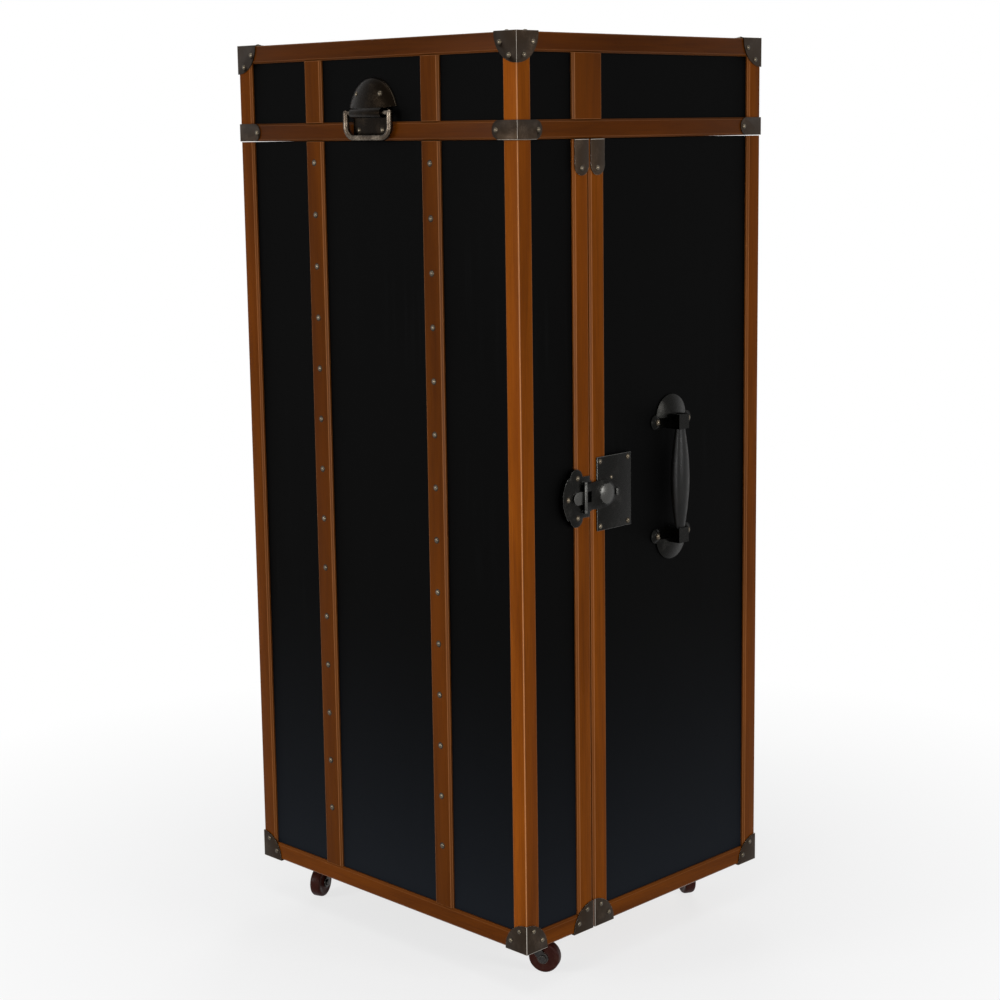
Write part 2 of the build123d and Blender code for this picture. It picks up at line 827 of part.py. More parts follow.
def make_latch():
    """The catch plate and hasp on the door, and the lock plate on the case."""
    face = right + latch_proud
    with BuildPart() as catch:
        with BuildSketch(Plane(origin=(panel_x, door_back, latch_z), x_dir=Y, z_dir=X)):
            with Locations((catch_belly_radius - catch_reach, 0)):
                Circle(catch_belly_radius)
            with Locations((-catch_lobe_y, 0)):
                Rectangle(2 * (catch_reach - catch_lobe_y), 2 * catch_belly_half, mode=Mode.INTERSECT)
            with BuildLine():
                Polyline(
                    (0, -catch_mouth),
                    (0, catch_mouth),
                    (-catch_neck, catch_mouth),
                    (catch_lobe_radius - catch_lobe_y, catch_half - catch_neck),
                    (-catch_lobe_y, catch_half),
                    (-catch_lobe_y, -catch_half),
                    (catch_lobe_radius - catch_lobe_y, catch_neck - catch_half),
                    (-catch_neck, -catch_mouth),
                    (0, -catch_mouth),
                )
            make_face()
            lobe_z = catch_half - catch_lobe_radius
            with Locations((-catch_lobe_y, lobe_z), (-catch_lobe_y, -lobe_z)):
                Circle(catch_lobe_radius)
        extrude(amount=band + latch_proud)
        with Locations(((panel_x + right) / 2, door_split_middle, latch_z)):
            Box(band, split_band, 4 * catch_half, mode=Mode.SUBTRACT)
        ear_low = hasp_half + side_gap
        for flip in (-1, 1):
            ear_z = latch_z + flip * (ear_low + hasp_ear / 2)
            with Locations((hasp_x, hasp_y, ear_z)):
                Cylinder(hasp_knuckle, hasp_ear)
            with Locations(((face + hasp_x) / 2, hasp_y, ear_z)):
                Box(hasp_x - face, hasp_ear_foot, hasp_ear)
            with Locations((hasp_x, hasp_y, ear_z)):
                Cylinder(hasp_pin_radius, hasp_ear, mode=Mode.SUBTRACT)
        tongue_right = hasp_y - hasp_knuckle - hasp_lift
        with BuildSketch(Plane(origin=(face, tongue_right, latch_z), x_dir=Y, z_dir=X)):
            with Locations((-(tongue_length - tongue_half) / 2, 0)):
                Rectangle(tongue_length - tongue_half, 2 * tongue_half)
            with Locations((tongue_half - tongue_length, 0)):
                Circle(tongue_half)
        extrude(amount=tongue_height)
    pin_half = hasp_half + side_gap + hasp_ear
    with BuildPart() as pin:
        with Locations((hasp_x, hasp_y, latch_z)):
            Cylinder(hasp_pin_radius, 2 * pin_half)
    save("catch_plate", catch.part, pin.part)

    swell = dome(hasp_dome_radius, hasp_dome_height)
    with BuildPart() as hasp:
        with BuildSketch(Plane(origin=(face + hasp_lift, hasp_y, latch_z), x_dir=Y, z_dir=X)):
            with BuildLine():
                along, out = hasp_shoulder
                Line((0, hasp_half), (0, -hasp_half))
                Line((0, -hasp_half), (hasp_belly_at, -hasp_belly))
                ThreePointArc((hasp_belly_at, -hasp_belly), (along, -out), (hasp_length, 0))
                ThreePointArc((hasp_length, 0), (along, out), (hasp_belly_at, hasp_belly))
                Line((hasp_belly_at, hasp_belly), (0, hasp_half))
            make_face()
        extrude(amount=hasp_sheet)
        with Locations((hasp_x, hasp_y, latch_z)):
            Cylinder(hasp_knuckle, 2 * hasp_half)
        with Locations((hasp_x, hasp_y + hasp_window / 2 + hasp_window_inset, latch_z)):
            Box(4 * hasp_sheet, hasp_window, hasp_window_width, mode=Mode.SUBTRACT)
        dome_y = hasp_y + hasp_dome_at
        with Locations(Plane(origin=(face + hasp_lift + hasp_sheet, dome_y, latch_z), z_dir=X).location):
            add(swell)
        roll_x = face + hasp_lift + hasp_sheet
        with Locations((roll_x, hasp_y + hasp_roll_at, latch_z)):
            Cylinder(hasp_roll, tongue_half)
        with Locations((hasp_x, hasp_y, latch_z)):
            Cylinder(hasp_pin_radius + running_gap, 2 * pin_half, mode=Mode.SUBTRACT)
    save("hasp", hasp.part)

    with BuildPart() as lock:
        middle_y = case_front + lock_inset + lock_width / 2
        with Locations(((panel_x + face) / 2, middle_y, latch_z)):
            Box(face - panel_x, lock_width, lock_length)
        with Locations(((panel_x + right) / 2, case_split_middle, latch_z)):
            Box(band, split_band, 2 * lock_length, mode=Mode.SUBTRACT)
    save("lock_plate", lock.part)


def mount_paddle(seam_z, flip):
    """The domed half disc of a handle mount, above or below its bar."""
    swell = dome(paddle_radius, paddle_dome)
    with BuildPart() as paddle:
        with Locations(Plane(origin=(panel_x, handle_y, seam_z), z_dir=X).location):
            Cylinder(paddle_radius, mount_sheet, align=(Align.CENTER, Align.CENTER, Align.MIN))
        with Locations(Plane(origin=(panel_x + mount_sheet, handle_y, seam_z), z_dir=X).location):
            add(swell)
        with Locations((panel_x, handle_y, seam_z - flip * paddle_radius)):
            Box(4 * paddle_dome, 2 * paddle_radius, 2 * paddle_radius, mode=Mode.SUBTRACT)
    return paddle.part


def make_handles():
    """A carrying handle on each side: two metal mounts and a covered grip between them."""
    loop_half_y = grip_end_width / 2 + seat_gap + loop_wall
    loop_face = grip_x + grip_end_depth / 2 + seat_gap + loop_wall
    paddles = {
        flip: mount_paddle(handle_z + flip * (handle_span / 2 + mount_bar / 4), flip) for flip in (-1, 1)
    }
    ear_head = dome(ear_radius, ear_dome)
    with BuildPart() as mounts:
        for flip in (-1, 1):
            middle_z = handle_z + flip * handle_span / 2
            origin = (panel_x, handle_y, middle_z)
            with BuildSketch(Plane(origin=origin, x_dir=Y, z_dir=X)):
                SlotOverall(mount_ears, mount_bar)
            extrude(amount=mount_sheet)
            add(paddles[flip])
            for side in (-1, 1):
                ear = (panel_x + mount_sheet, handle_y + side * (mount_ears - mount_bar) / 2, middle_z)
                with Locations(Plane(origin=ear, z_dir=X).location):
                    add(ear_head)
            with Locations(((panel_x + loop_face) / 2, handle_y, middle_z)):
                Box(loop_face - panel_x, 2 * loop_half_y, mount_bar)
            with BuildSketch(Plane.XY.offset(middle_z - mount_bar)):
                with Locations((grip_x, handle_y)):
                    Ellipse(grip_end_depth / 2 + seat_gap, grip_end_width / 2 + seat_gap)
            extrude(amount=2 * mount_bar, mode=Mode.SUBTRACT)
        mirror(about=Plane.YZ)
    save("handle_mounts", mounts.part)

    neck = handle_span / 2 - mount_bar / 2 - grip_shoulder
    tip = handle_span / 2 + mount_bar / 4
    with BuildPart() as grips:
        for share in (-1, -1 / 2, 0, 1 / 2, 1):
            swell = cos(share * pi / 2)
            with BuildSketch(Plane.XY.offset(handle_z + share * neck)):
                with Locations((grip_x, handle_y)):
                    Ellipse(
                        (grip_end_depth + (grip_depth - grip_end_depth) * swell) / 2,
                        (grip_end_width + (grip_width - grip_end_width) * swell) / 2,
                    )
        loft()
        for flip in (-1, 1):
            with BuildSketch(Plane.XY.offset(handle_z + flip * neck)):
                with Locations((grip_x, handle_y)):
                    Ellipse(grip_end_depth / 2, grip_end_width / 2)
            extrude(amount=flip * (tip - neck))
        mirror(about=Plane.YZ)
    save("handle_grips", grips.part)


def make_bail():
    """The drop handle of the lid: a hooded plate that holds a ring."""
    hood_low = bail_axis_z + sleeve_radius + hood_rise
    apron_low = lid_base + apron_sheet
    with BuildPart() as plate:
        for height, half, reach in zip(hood_heights, hood_halves, hood_reaches):
            with BuildSketch(Plane.XY.offset(hood_low + height)):
                with Locations((bail_x, panel_front)):
                    Ellipse(half, reach)
                    Rectangle(2 * half, reach, align=(Align.CENTER, Align.MIN), mode=Mode.SUBTRACT)
        loft()
        brow_radius = (hood_halves[0] ** 2 + hood_sag**2) / (2 * hood_sag)
        with Locations(Plane(origin=(bail_x, front, hood_low + brow_radius - hood_sag), z_dir=Y).location):
            Cylinder(brow_radius, 4 * hood_reaches[0], mode=Mode.INTERSECT)
        sleeve_low = bail_axis_z - sleeve_radius
        with Locations((bail_x, (panel_front + bail_axis_y) / 2, (sleeve_low + hood_low) / 2)):
            Box(sleeve_length, panel_front - bail_axis_y, hood_low - sleeve_low)
        with Locations(Plane(origin=(bail_x, bail_axis_y, bail_axis_z), z_dir=X).location):
            Cylinder(sleeve_radius, sleeve_length)
        apron_high = bail_axis_z - sleeve_radius / 2
        with BuildSketch(Plane(origin=(bail_x, front, 0), x_dir=X, z_dir=back_of(Y))) as apron:
            with Locations((0, (apron_low + apron_high) / 2)):
                Rectangle(apron_width, apron_high - apron_low)
            fillet(apron.vertices().group_by(Axis.Z)[0], apron_corner)
            with Locations((0, apron_low - apron_hollow + apron_sheet)):
                Circle(apron_hollow, mode=Mode.SUBTRACT)
        extrude(amount=apron_sheet)
        with Locations(Plane(origin=(bail_x, bail_axis_y, bail_axis_z), z_dir=X).location):
            Cylinder(bail_rod + running_gap, 2 * sleeve_length, mode=Mode.SUBTRACT)
    save("bail_plate", plate.part)

    drop = bail_axis_z - bail_wire - body_top - bail_clear
    half_ring = bail_width / 2
    hanging = Plane(origin=(bail_x, bail_axis_y, bail_axis_z), x_dir=X, z_dir=back_of(Y))
    with BuildPart() as ring:
        with BuildLine(hanging) as path:
            FilletPolyline(
                (-half_ring, 0),
                (-half_ring, -drop),
                (half_ring, -drop),
                (half_ring, 0),
                radius=bail_corner,
            )
        with BuildSketch(Plane(origin=path.line @ 0, z_dir=path.line % 0)):
            Circle(bail_wire)
        sweep()
        for side in (-1, 1):
            with Locations((bail_x + side * half_ring, bail_axis_y, bail_axis_z)):
                Sphere(bail_wire)
        with Locations(Plane(origin=(bail_x, bail_axis_y, bail_axis_z), z_dir=X).location):
            Cylinder(bail_rod, bail_width)
    save("bail_ring", ring.part)


def make_casters():
    """Four swivel casters, each a plate, a fork with its bolt, and a wheel."""
    half_wheel = wheel_width / 2
    cheek = half_wheel + fork_gap
    plates = {"front": [], "rear": []}
    for name, turn in caster_turns.items():
        row, hand = name.split("_")
        stem_x = caster_x if hand == "right" else -caster_x
        stem_y = case_y + (caster_y if row == "rear" else -caster_y)
        heading = (cos(radians(turn)), sin(radians(turn)), 0)
        stem = Plane(origin=(stem_x, stem_y, 0), x_dir=heading, z_dir=Z)
        race_low = crown_top + slide_gap
        with BuildPart(Plane(origin=(stem_x, stem_y, 0))) as plate:
            with Locations((0, 0, base - caster_plate / 2)):
                Box(caster_plate_size, caster_plate_size, caster_plate)
            with Locations((0, 0, (race_low + base - caster_plate) / 2)):
                Cylinder(race_radius, base - caster_plate - race_low)
            with Locations((0, 0, (crown_low - slide_gap + race_low) / 2)):
                Cylinder(king_radius, race_low - crown_low + slide_gap)
            with Locations((0, 0, crown_low - slide_gap - king_head / 2)):
                Cylinder(king_head_radius, king_head)
        plates[row].append(plate.part)

        with BuildPart(stem) as fork:
            with Locations((0, 0, (crown_low + crown_top) / 2)):
                Cylinder(race_radius, crown_sheet)
            for flip in (-1, 1):
                side_plane = Plane(
                    origin=stem.from_local_coords((0, flip * cheek, 0)),
                    x_dir=heading,
                    z_dir=stem.y_dir * -1,
                )
                with BuildSketch(side_plane):
                    Polygon(
                        (-fork_neck, crown_top),
                        (fork_neck, crown_top),
                        (caster_trail + fork_foot, wheel_radius),
                        (caster_trail - fork_foot, wheel_radius),
                        align=None,
                    )
                    with Locations((caster_trail, wheel_radius)):
                        Circle(fork_foot)
                        Circle(axle_radius, mode=Mode.SUBTRACT)
                extrude(amount=-flip * fork_sheet)
            with Locations((0, 0, (crown_low + crown_top) / 2)):
                Cylinder(king_radius + running_gap, 2 * crown_sheet, mode=Mode.SUBTRACT)
        axle_plane = Plane(
            origin=stem.from_local_coords((caster_trail, 0, wheel_radius)), x_dir=heading, z_dir=stem.y_dir
        )
        with BuildPart(axle_plane) as axle:
            Cylinder(axle_radius, 2 * (cheek + fork_sheet))
            for flip in (-1, 1):
                with Locations((0, 0, flip * (cheek + fork_sheet + axle_head / 2))):
                    Cylinder(axle_head_radius, axle_head)
        save(f"caster_{name}_fork", fork.part, axle.part)

        with BuildPart(axle_plane) as wheel:
            Cylinder(wheel_radius, wheel_width)
            fillet(wheel.edges().filter_by(GeomType.CIRCLE).group_by(SortBy.RADIUS)[-1], wheel_round)
            Cylinder(axle_radius + running_gap, wheel_width, mode=Mode.SUBTRACT)
        save(f"caster_{name}_wheel", wheel.part)
    save("door_caster_plates", *plates["front"])
    save("case_caster_plates", *plates["rear"])


os.makedirs("parts", exist_ok=True)
make_case()
make_desk()
make_drawers()
make_lopers()
make_leaf()
make_door()
make_lid()
make_hinges()
make_latch()
make_handles()
make_bail()
make_casters()
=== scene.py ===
"""A tall desk trunk on casters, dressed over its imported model.

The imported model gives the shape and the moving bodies. This script rounds its
boards and sheet metal, builds the turned and hand-finished pieces, gives every
surface a procedural material, and sets the light and the camera.
All lengths are in metres.
"""

import json
import logging
import math
import random
from dataclasses import dataclass, field
from enum import Enum
from typing import Callable, ClassVar, Iterable, Sequence

import bmesh
import bpy
from mathutils import Matrix, Vector
from mathutils.bvhtree import BVHTree

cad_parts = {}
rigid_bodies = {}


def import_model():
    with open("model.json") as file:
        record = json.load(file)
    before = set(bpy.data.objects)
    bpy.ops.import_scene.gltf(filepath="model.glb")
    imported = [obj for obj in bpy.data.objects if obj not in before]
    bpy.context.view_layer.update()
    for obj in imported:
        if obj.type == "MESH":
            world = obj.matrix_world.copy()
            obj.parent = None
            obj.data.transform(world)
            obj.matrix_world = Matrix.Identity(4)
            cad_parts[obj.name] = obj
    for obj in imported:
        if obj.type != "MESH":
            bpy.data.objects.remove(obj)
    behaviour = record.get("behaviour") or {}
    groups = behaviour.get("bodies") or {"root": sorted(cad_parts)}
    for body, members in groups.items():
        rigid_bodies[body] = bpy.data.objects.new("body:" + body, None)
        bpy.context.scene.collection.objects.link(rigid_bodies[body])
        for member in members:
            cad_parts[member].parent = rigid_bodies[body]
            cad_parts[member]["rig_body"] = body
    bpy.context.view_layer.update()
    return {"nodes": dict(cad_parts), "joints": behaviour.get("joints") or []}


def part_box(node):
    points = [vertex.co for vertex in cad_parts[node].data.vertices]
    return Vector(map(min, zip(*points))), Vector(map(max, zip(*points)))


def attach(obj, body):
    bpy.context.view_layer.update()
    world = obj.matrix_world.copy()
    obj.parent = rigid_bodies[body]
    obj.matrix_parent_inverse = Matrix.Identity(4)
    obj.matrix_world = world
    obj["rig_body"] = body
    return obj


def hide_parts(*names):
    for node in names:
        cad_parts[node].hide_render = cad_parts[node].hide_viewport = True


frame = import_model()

LOG = logging.getLogger("desk_trunk")
Colour = tuple[float, float, float]
Triple = tuple[float, float, float]
Socket = bpy.types.NodeSocket
Shape = bmesh.types.BMesh

# Angles in degrees: a crease above the first stays sharp, on flat boards above the second, and an
# edge above the third is rounded.
SHARP = 32.0
FLAT_SHARP = 12.0
ROUND_ABOVE = 28.0
# How full a rounding is, and the distance within which two points are one.
FULLNESS = 0.6
SAME_POINT = 0.000002

X = Vector((1.0, 0.0, 0.0))
Y = Vector((0.0, 1.0, 0.0))
Z = Vector((0.0, 0.0, 1.0))


class Grain(Enum):
    """The way that the fibres of a board run, or where that is read from."""

    ALONG_X = "x"
    ALONG_Y = "y"
    ALONG_Z = "z"
    PAINTED_ON = "attribute"


@dataclass(frozen=True)
class Texture:
    """A noise on a surface: how many units one metre holds along, across and outward, and its looks."""

    stretch: Triple = (1.0, 1.0, 1.0)
    scale: float = 1.0
    detail: float = 3.0
    rough: float = 0.5
    distortion: float = 0.0
    shift: float = 0.0


@dataclass(frozen=True)
class Relief:
    """A bump: what its full height stands for, and how strongly it shows."""

    depth: float
    strength: float


class Graph:
    """A small helper that fills the node tree of one material."""

    SHIFT_WAY = (1.0, 1.7, -0.6)

    def __init__(self, name: str) -> None:
        """Starts a material.

        Args:
            name: The name of the material.
        """
        self.material = bpy.data.materials.new(name)
        self.material.use_nodes = True
        self.tree = self.material.node_tree
        self.tree.nodes.clear()
        self.output = self.add("ShaderNodeOutputMaterial")
        self.shader = self.add("ShaderNodeBsdfPrincipled")
        self.link(self.shader.outputs["BSDF"], self.output.inputs["Surface"])

    def add(self, kind: str, **values: float | Sequence[float]) -> bpy.types.Node:
        """Adds a node.

        Args:
            kind: The node's type name.
            values: The values of its inputs, with _ for a space.

        Returns:
            The new node.
        """
        node = self.tree.nodes.new(kind)
        for name, value in values.items():
            node.inputs[name.replace("_", " ")].default_value = value
        return node

    def link(self, source: Socket, target: Socket) -> None:
        """Links two sockets.

        Args:
            source: An output.
            target: An input.
        """
        self.tree.links.new(source, target)

    def place(
        self, grain: Grain = Grain.ALONG_X, stretch: Triple = (1.0, 1.0, 1.0), shift: float = 0.0
    ) -> Socket:
        """A coordinate whose first axis runs along the grain, scaled.

        Args:
            grain: Where the direction of the grain comes from.
            stretch: How many texture units one metre holds along, across and outward.
            shift: A shift that sets two textures apart.

        Returns:
            The scaled coordinate.
        """
        along, across, outward = stretch
        order = {
            Grain.ALONG_X: (along, across, outward),
            Grain.ALONG_Y: (across, along, outward),
            Grain.ALONG_Z: (across, outward, along),
            Grain.PAINTED_ON: stretch,
        }[grain]
        if grain is Grain.PAINTED_ON:
            node = self.add("ShaderNodeAttribute")
            node.attribute_name = "grain"
            source = node.outputs["Vector"]
        else:
            source = self.add("ShaderNodeTexCoord").outputs["Object"]
        place = [shift * part for part in self.SHIFT_WAY]
        mapping = self.add("ShaderNodeMapping", Scale=order, Location=place)
        self.link(source, mapping.inputs["Vector"])
        return mapping.outputs["Vector"]

    def noise(self, kind: Texture, grain: Grain = Grain.ALONG_X) -> Socket:
        """A noise texture.

        Args:
            kind: How the noise looks.
            grain: Where the direction of the grain comes from.

        Returns:
            The value, about 0 to 1.
        """
        grit = {"Scale": kind.scale, "Detail": kind.detail, "Roughness": kind.rough}
        node = self.add("ShaderNodeTexNoise", Distortion=kind.distortion, **grit)
        self.link(self.place(grain, kind.stretch, kind.shift), node.inputs["Vector"])
        return node.outputs["Fac"]

    def spread(
        self, value: Socket, low: float, high: float, to_low: float = 0.0, to_high: float = 1.0
    ) -> Socket:
        """Maps a value from one range to another, clamped.

        Args:
            value: The value.
            low: The lower end of its range.
            high: The upper end of its range.
            to_low: What the lower end becomes.
            to_high: What the upper end becomes.

        Returns:
            The mapped value.
        """
        node = self.add("ShaderNodeMapRange", From_Min=low, From_Max=high, To_Min=to_low, To_Max=to_high)
        self.link(value, node.inputs["Value"])
        return node.outputs["Result"]

    def blend(self, share: Socket, first: Colour | Socket, second: Colour | Socket) -> Socket:
        """Mixes two colours.

        Args:
            share: The share of the second colour.
            first: A colour or a socket.
            second: A colour or a socket.

        Returns:
            The mixed colour.
        """
        node = self.add("ShaderNodeMix")
        node.data_type = "RGBA"
        self.link(share, node.inputs["Factor"])
        for name, colour in (("A", first), ("B", second)):
            socket = next(s for s in node.inputs if s.name == name and s.type == "RGBA")
            if isinstance(colour, tuple):
                socket.default_value = (*colour, 1.0)
            else:
                self.link(colour, socket)
        return next(s for s in node.outputs if s.type == "RGBA")

    def calculate(self, operation: str, first: Socket, second: Socket) -> Socket:
        """Works out one value from two.

        Args:
            operation: The name of the operation.
            first: A value.
            second: A value.

        Returns:
            The result.
        """
        node = self.add("ShaderNodeMath")
        node.operation = operation
        self.link(first, node.inputs[0])
        self.link(second, node.inputs[1])
        return node.outputs["Value"]

    def painted(self, name: str) -> Socket:
        """A number that is stored on the mesh.

        Args:
            name: The name of the attribute.

        Returns:
            The number, or 0 where the mesh has none.
        """
        node = self.add("ShaderNodeAttribute")
        node.attribute_name = name
        return node.outputs["Fac"]

    def scaled(self, colour: Socket, share: Socket) -> Socket:
        """Multiplies a colour by a number.

        Args:
            colour: The colour.
            share: The number.

        Returns:
            The product.
        """
        node = self.add("ShaderNodeVectorMath")
        node.operation = "SCALE"
        self.link(colour, node.inputs[0])
        self.link(share, node.inputs["Scale"])
        return node.outputs["Vector"]

    def bump(self, height: Socket, relief: Relief, under: Socket | None = None) -> Socket:
        """A bump.

        Args:
            height: The height, 0 to 1.
            relief: How deep and how strong it is.
            under: A normal that this bump lies on.

        Returns:
            The normal.
        """
        node = self.add("ShaderNodeBump", Strength=relief.strength, Distance=relief.depth)
        self.link(height, node.inputs["Height"])
        if under is not None:
            self.link(under, node.inputs["Normal"])
        return node.outputs["Normal"]

    def feed(self, **links: Socket | float) -> None:
        """Sets or links inputs of the shader.

        Args:
            links: For each input, with _ for a space, a number or a socket.
        """
        for name, value in links.items():
            socket = self.shader.inputs[name.replace("_", " ")]
            if isinstance(value, (int, float)):
                socket.default_value = value
            else:
                self.link(value, socket)


@dataclass(frozen=True)
class WoodFinish:
    """Lacquered or oiled wood with fine fibres and a few darker bands."""

    BANDS: ClassVar[Texture] = Texture((1.6, 26.0, 26.0), 1.0, 4.0, 0.6, 0.5)
    FIBRES: ClassVar[Texture] = Texture((14.0, 620.0, 620.0), 1.0, 3.0, 0.6, shift=3.0)
    PORES: ClassVar[Texture] = Texture((42.0, 1500.0, 1500.0), 1.0, 2.0, 0.5, shift=7.0)
    PATCHES: ClassVar[Texture] = Texture((2.4, 9.0, 9.0), 1.0, 2.0, 0.5, shift=11.0)
    BAND_RANGE: ClassVar[tuple] = (0.3, 0.7)
    FIBRE_RANGE: ClassVar[tuple] = (0.5, 0.78, 0.0, 0.5)
    PATCH_RANGE: ClassVar[tuple] = (0.45, 0.75, 0.0, 0.35)
    PORE_RANGE: ClassVar[tuple] = (0.64, 0.74, 0.0, 0.4)
    ROUGH_RANGE: ClassVar[tuple] = (0.2, 0.8)
    SMOOTHER: ClassVar[float] = 0.06
    ROUGHER: ClassVar[float] = 0.1
    DEEP: ClassVar[float] = 0.62
    RICH: ClassVar[Colour] = (1.12, 0.98, 0.8)
    EDGE_HIGHLIGHT_SHARE: ClassVar[float] = 0.85
    FIBRE_RELIEF: ClassVar[Relief] = Relief(0.00006, 0.5)
    PATCH_RELIEF: ClassVar[Relief] = Relief(0.0005, 0.18)

    name: str
    dark: Colour
    light: Colour
    grain: Grain
    rough: float = 0.34
    specular: float = 0.22
    # A painted highlight: the lighter colour of the eased edges.
    edge: Colour = (0.52, 0.235, 0.095)

    def build(self) -> bpy.types.Material:
        """Makes the material.

        Returns:
            The material.
        """
        graph = Graph(self.name)
        bands = graph.noise(self.BANDS, self.grain)
        fibres = graph.noise(self.FIBRES, self.grain)
        pores = graph.noise(self.PORES, self.grain)
        patches = graph.noise(self.PATCHES, self.grain)
        deep = tuple(self.DEEP * part for part in self.dark)
        rich = tuple(share * part for share, part in zip(self.RICH, self.light))
        colour = graph.blend(graph.spread(bands, *self.BAND_RANGE), self.dark, self.light)
        colour = graph.blend(graph.spread(fibres, *self.FIBRE_RANGE), colour, deep)
        colour = graph.blend(graph.spread(patches, *self.PATCH_RANGE), colour, rich)
        colour = graph.blend(graph.spread(pores, *self.PORE_RANGE), colour, deep)
        if self.grain is Grain.PAINTED_ON:
            colour = graph.scaled(colour, graph.painted("tone"))
        # Painted highlight: faces marked as eased edges blend to the lighter edge colour.
        worn_and_highlit = graph.spread(graph.painted("edge"), 0.0, 1.0, 0.0, self.EDGE_HIGHLIGHT_SHARE)
        smooth, rough = self.rough - self.SMOOTHER, self.rough + self.ROUGHER
        graph.feed(
            Base_Color=graph.blend(worn_and_highlit, colour, self.edge),
            Roughness=graph.spread(patches, *self.ROUGH_RANGE, smooth, rough),
            Specular_IOR_Level=self.specular,
            Normal=graph.bump(fibres, self.FIBRE_RELIEF, graph.bump(patches, self.PATCH_RELIEF)),
        )
        return graph.material


@dataclass(frozen=True)
class PanelFinish:
    """A black covering on board, with a fine pebble, faint scuffs and a painted reflection of the floor that
    turns it bluish and lighter towards the foot.
    """

    PEBBLE: ClassVar[Texture] = Texture(scale=900.0, detail=2.0, rough=0.55)
    CLOTH: ClassVar[Texture] = Texture(scale=260.0, detail=2.0, rough=0.5)
    CLOUDS: ClassVar[Texture] = Texture(scale=3.2, detail=3.0, rough=0.55)
    STREAKS: ClassVar[Texture] = Texture((3.0, 90.0, 90.0), 1.0, 3.0, 0.6, shift=2.0)
    CLOUD_RANGE: ClassVar[tuple] = (0.45, 0.75)
    STREAK_RANGE: ClassVar[tuple] = (0.55, 0.7)
    ROUGH_RANGE: ClassVar[tuple] = (0.25, 0.75, 0.42, 0.56)
    SPECULAR: ClassVar[float] = 0.02
    # Painted reflection of the floor: full up to 0.08 m on the panel, gone by 0.62 m.
    DUST_AND_REFLECTION_RANGE: ClassVar[tuple] = (0.08, 0.62, 1.0, 0.0)
    PEBBLE_RELIEF: ClassVar[Relief] = Relief(0.00008, 0.45)
    CLOTH_RELIEF: ClassVar[Relief] = Relief(0.0002, 0.12)

    name: str
    colour: Colour = (0.0006, 0.0006, 0.0006)
    scuffed: Colour = (0.0021, 0.0022, 0.0023)
    # Painted reflection of the floor, bluish, at the foot of the panels.
    dust_and_reflection_colour: Colour = (0.0088, 0.0106, 0.0138)

    def build(self) -> bpy.types.Material:
        """Makes the material.

        Returns:
            The material.
        """
        graph = Graph(self.name)
        clouds = graph.noise(self.CLOUDS)
        streaks = graph.noise(self.STREAKS, Grain.ALONG_Z)
        cloudy, streaky = graph.spread(clouds, *self.CLOUD_RANGE), graph.spread(streaks, *self.STREAK_RANGE)
        scuffs = graph.calculate("MULTIPLY", cloudy, streaky)
        spot = graph.add("ShaderNodeSeparateXYZ")
        graph.link(graph.place(), spot.inputs["Vector"])
        # Painted reflection of the floor, strongest at the foot.
        foot = graph.spread(spot.outputs["Z"], *self.DUST_AND_REFLECTION_RANGE)
        dust_and_reflection = graph.calculate("MULTIPLY", foot, foot)
        cloth = graph.bump(graph.noise(self.CLOTH), self.CLOTH_RELIEF)
        graph.feed(
            Base_Color=graph.blend(dust_and_reflection, graph.blend(scuffs, self.colour, self.scuffed), self.dust_and_reflection_colour),
            Roughness=graph.spread(clouds, *self.ROUGH_RANGE),
            Specular_IOR_Level=self.SPECULAR,
            Normal=graph.bump(graph.noise(self.PEBBLE), self.PEBBLE_RELIEF, cloth),
        )
        return graph.material


@dataclass(frozen=True)
class MetalFinish:
    """Aged metal: a dark patina, a tone of real rubbing on patches, small dents, and an edge colour on marked
    faces: a painted highlight on rounded edges, partly real rubbing, and painted shade at the foot of the
    rivets.
    """

    CLOUDS: ClassVar[Texture] = Texture(scale=38.0, detail=4.0, rough=0.6)
    SPECKS: ClassVar[Texture] = Texture(scale=420.0, detail=3.0, rough=0.6)
    DENTS: ClassVar[Texture] = Texture(scale=120.0, detail=2.0, rough=0.5)
    CLOUD_RANGE: ClassVar[tuple] = ((0.62, 0.24), (0.82, 0.16))
    SPECK_RANGE: ClassVar[tuple] = (0.3, 0.6)
    ROUGH_RANGE: ClassVar[tuple] = (0.25, 0.75)
    SMOOTHER: ClassVar[float] = 0.07
    ROUGHER: ClassVar[float] = 0.12
    DENT_DEPTH: ClassVar[float] = 0.00035
    DENT_STRENGTH: ClassVar[float] = 0.35
    SPECK_RELIEF: ClassVar[Relief] = Relief(0.00004, 0.4)

    name: str
    patina: Colour
    worn_and_highlit: Colour
    rough: float = 0.38
    wear_and_highlight: float = 0.5
    dents: float = 1.0
    # The edge colour: a painted highlight on rounded edges, partly real rubbing; on the rivets it is dark, a
    # painted shade at their foot.
    edge: Colour = (0.30, 0.26, 0.22)

    def build(self) -> bpy.types.Material:
        """Makes the material.

        Returns:
            The material.
        """
        graph = Graph(self.name)
        clouds = graph.noise(self.CLOUDS)
        specks = graph.noise(self.SPECKS)
        low, high = (start - share * self.wear_and_highlight for start, share in self.CLOUD_RANGE)
        cloudy = graph.spread(clouds, low, high)
        worn_and_highlit = graph.calculate("MULTIPLY", cloudy, graph.spread(specks, *self.SPECK_RANGE))
        aged = graph.blend(worn_and_highlit, self.patina, self.worn_and_highlit)
        dents = Relief(self.DENT_DEPTH * self.dents, self.DENT_STRENGTH)
        smooth, rough = self.rough - self.SMOOTHER, self.rough + self.ROUGHER
        # Marked faces take the edge colour: a painted highlight, partly real rubbing, and on the rivets
        # painted shade.
        graph.feed(
            Base_Color=graph.blend(graph.painted("edge"), aged, self.edge),
            Metallic=1.0,
            Roughness=graph.spread(specks, *self.ROUGH_RANGE, smooth, rough),
            Normal=graph.bump(graph.noise(self.DENTS), dents, graph.bump(specks, self.SPECK_RELIEF)),
        )
        return graph.material


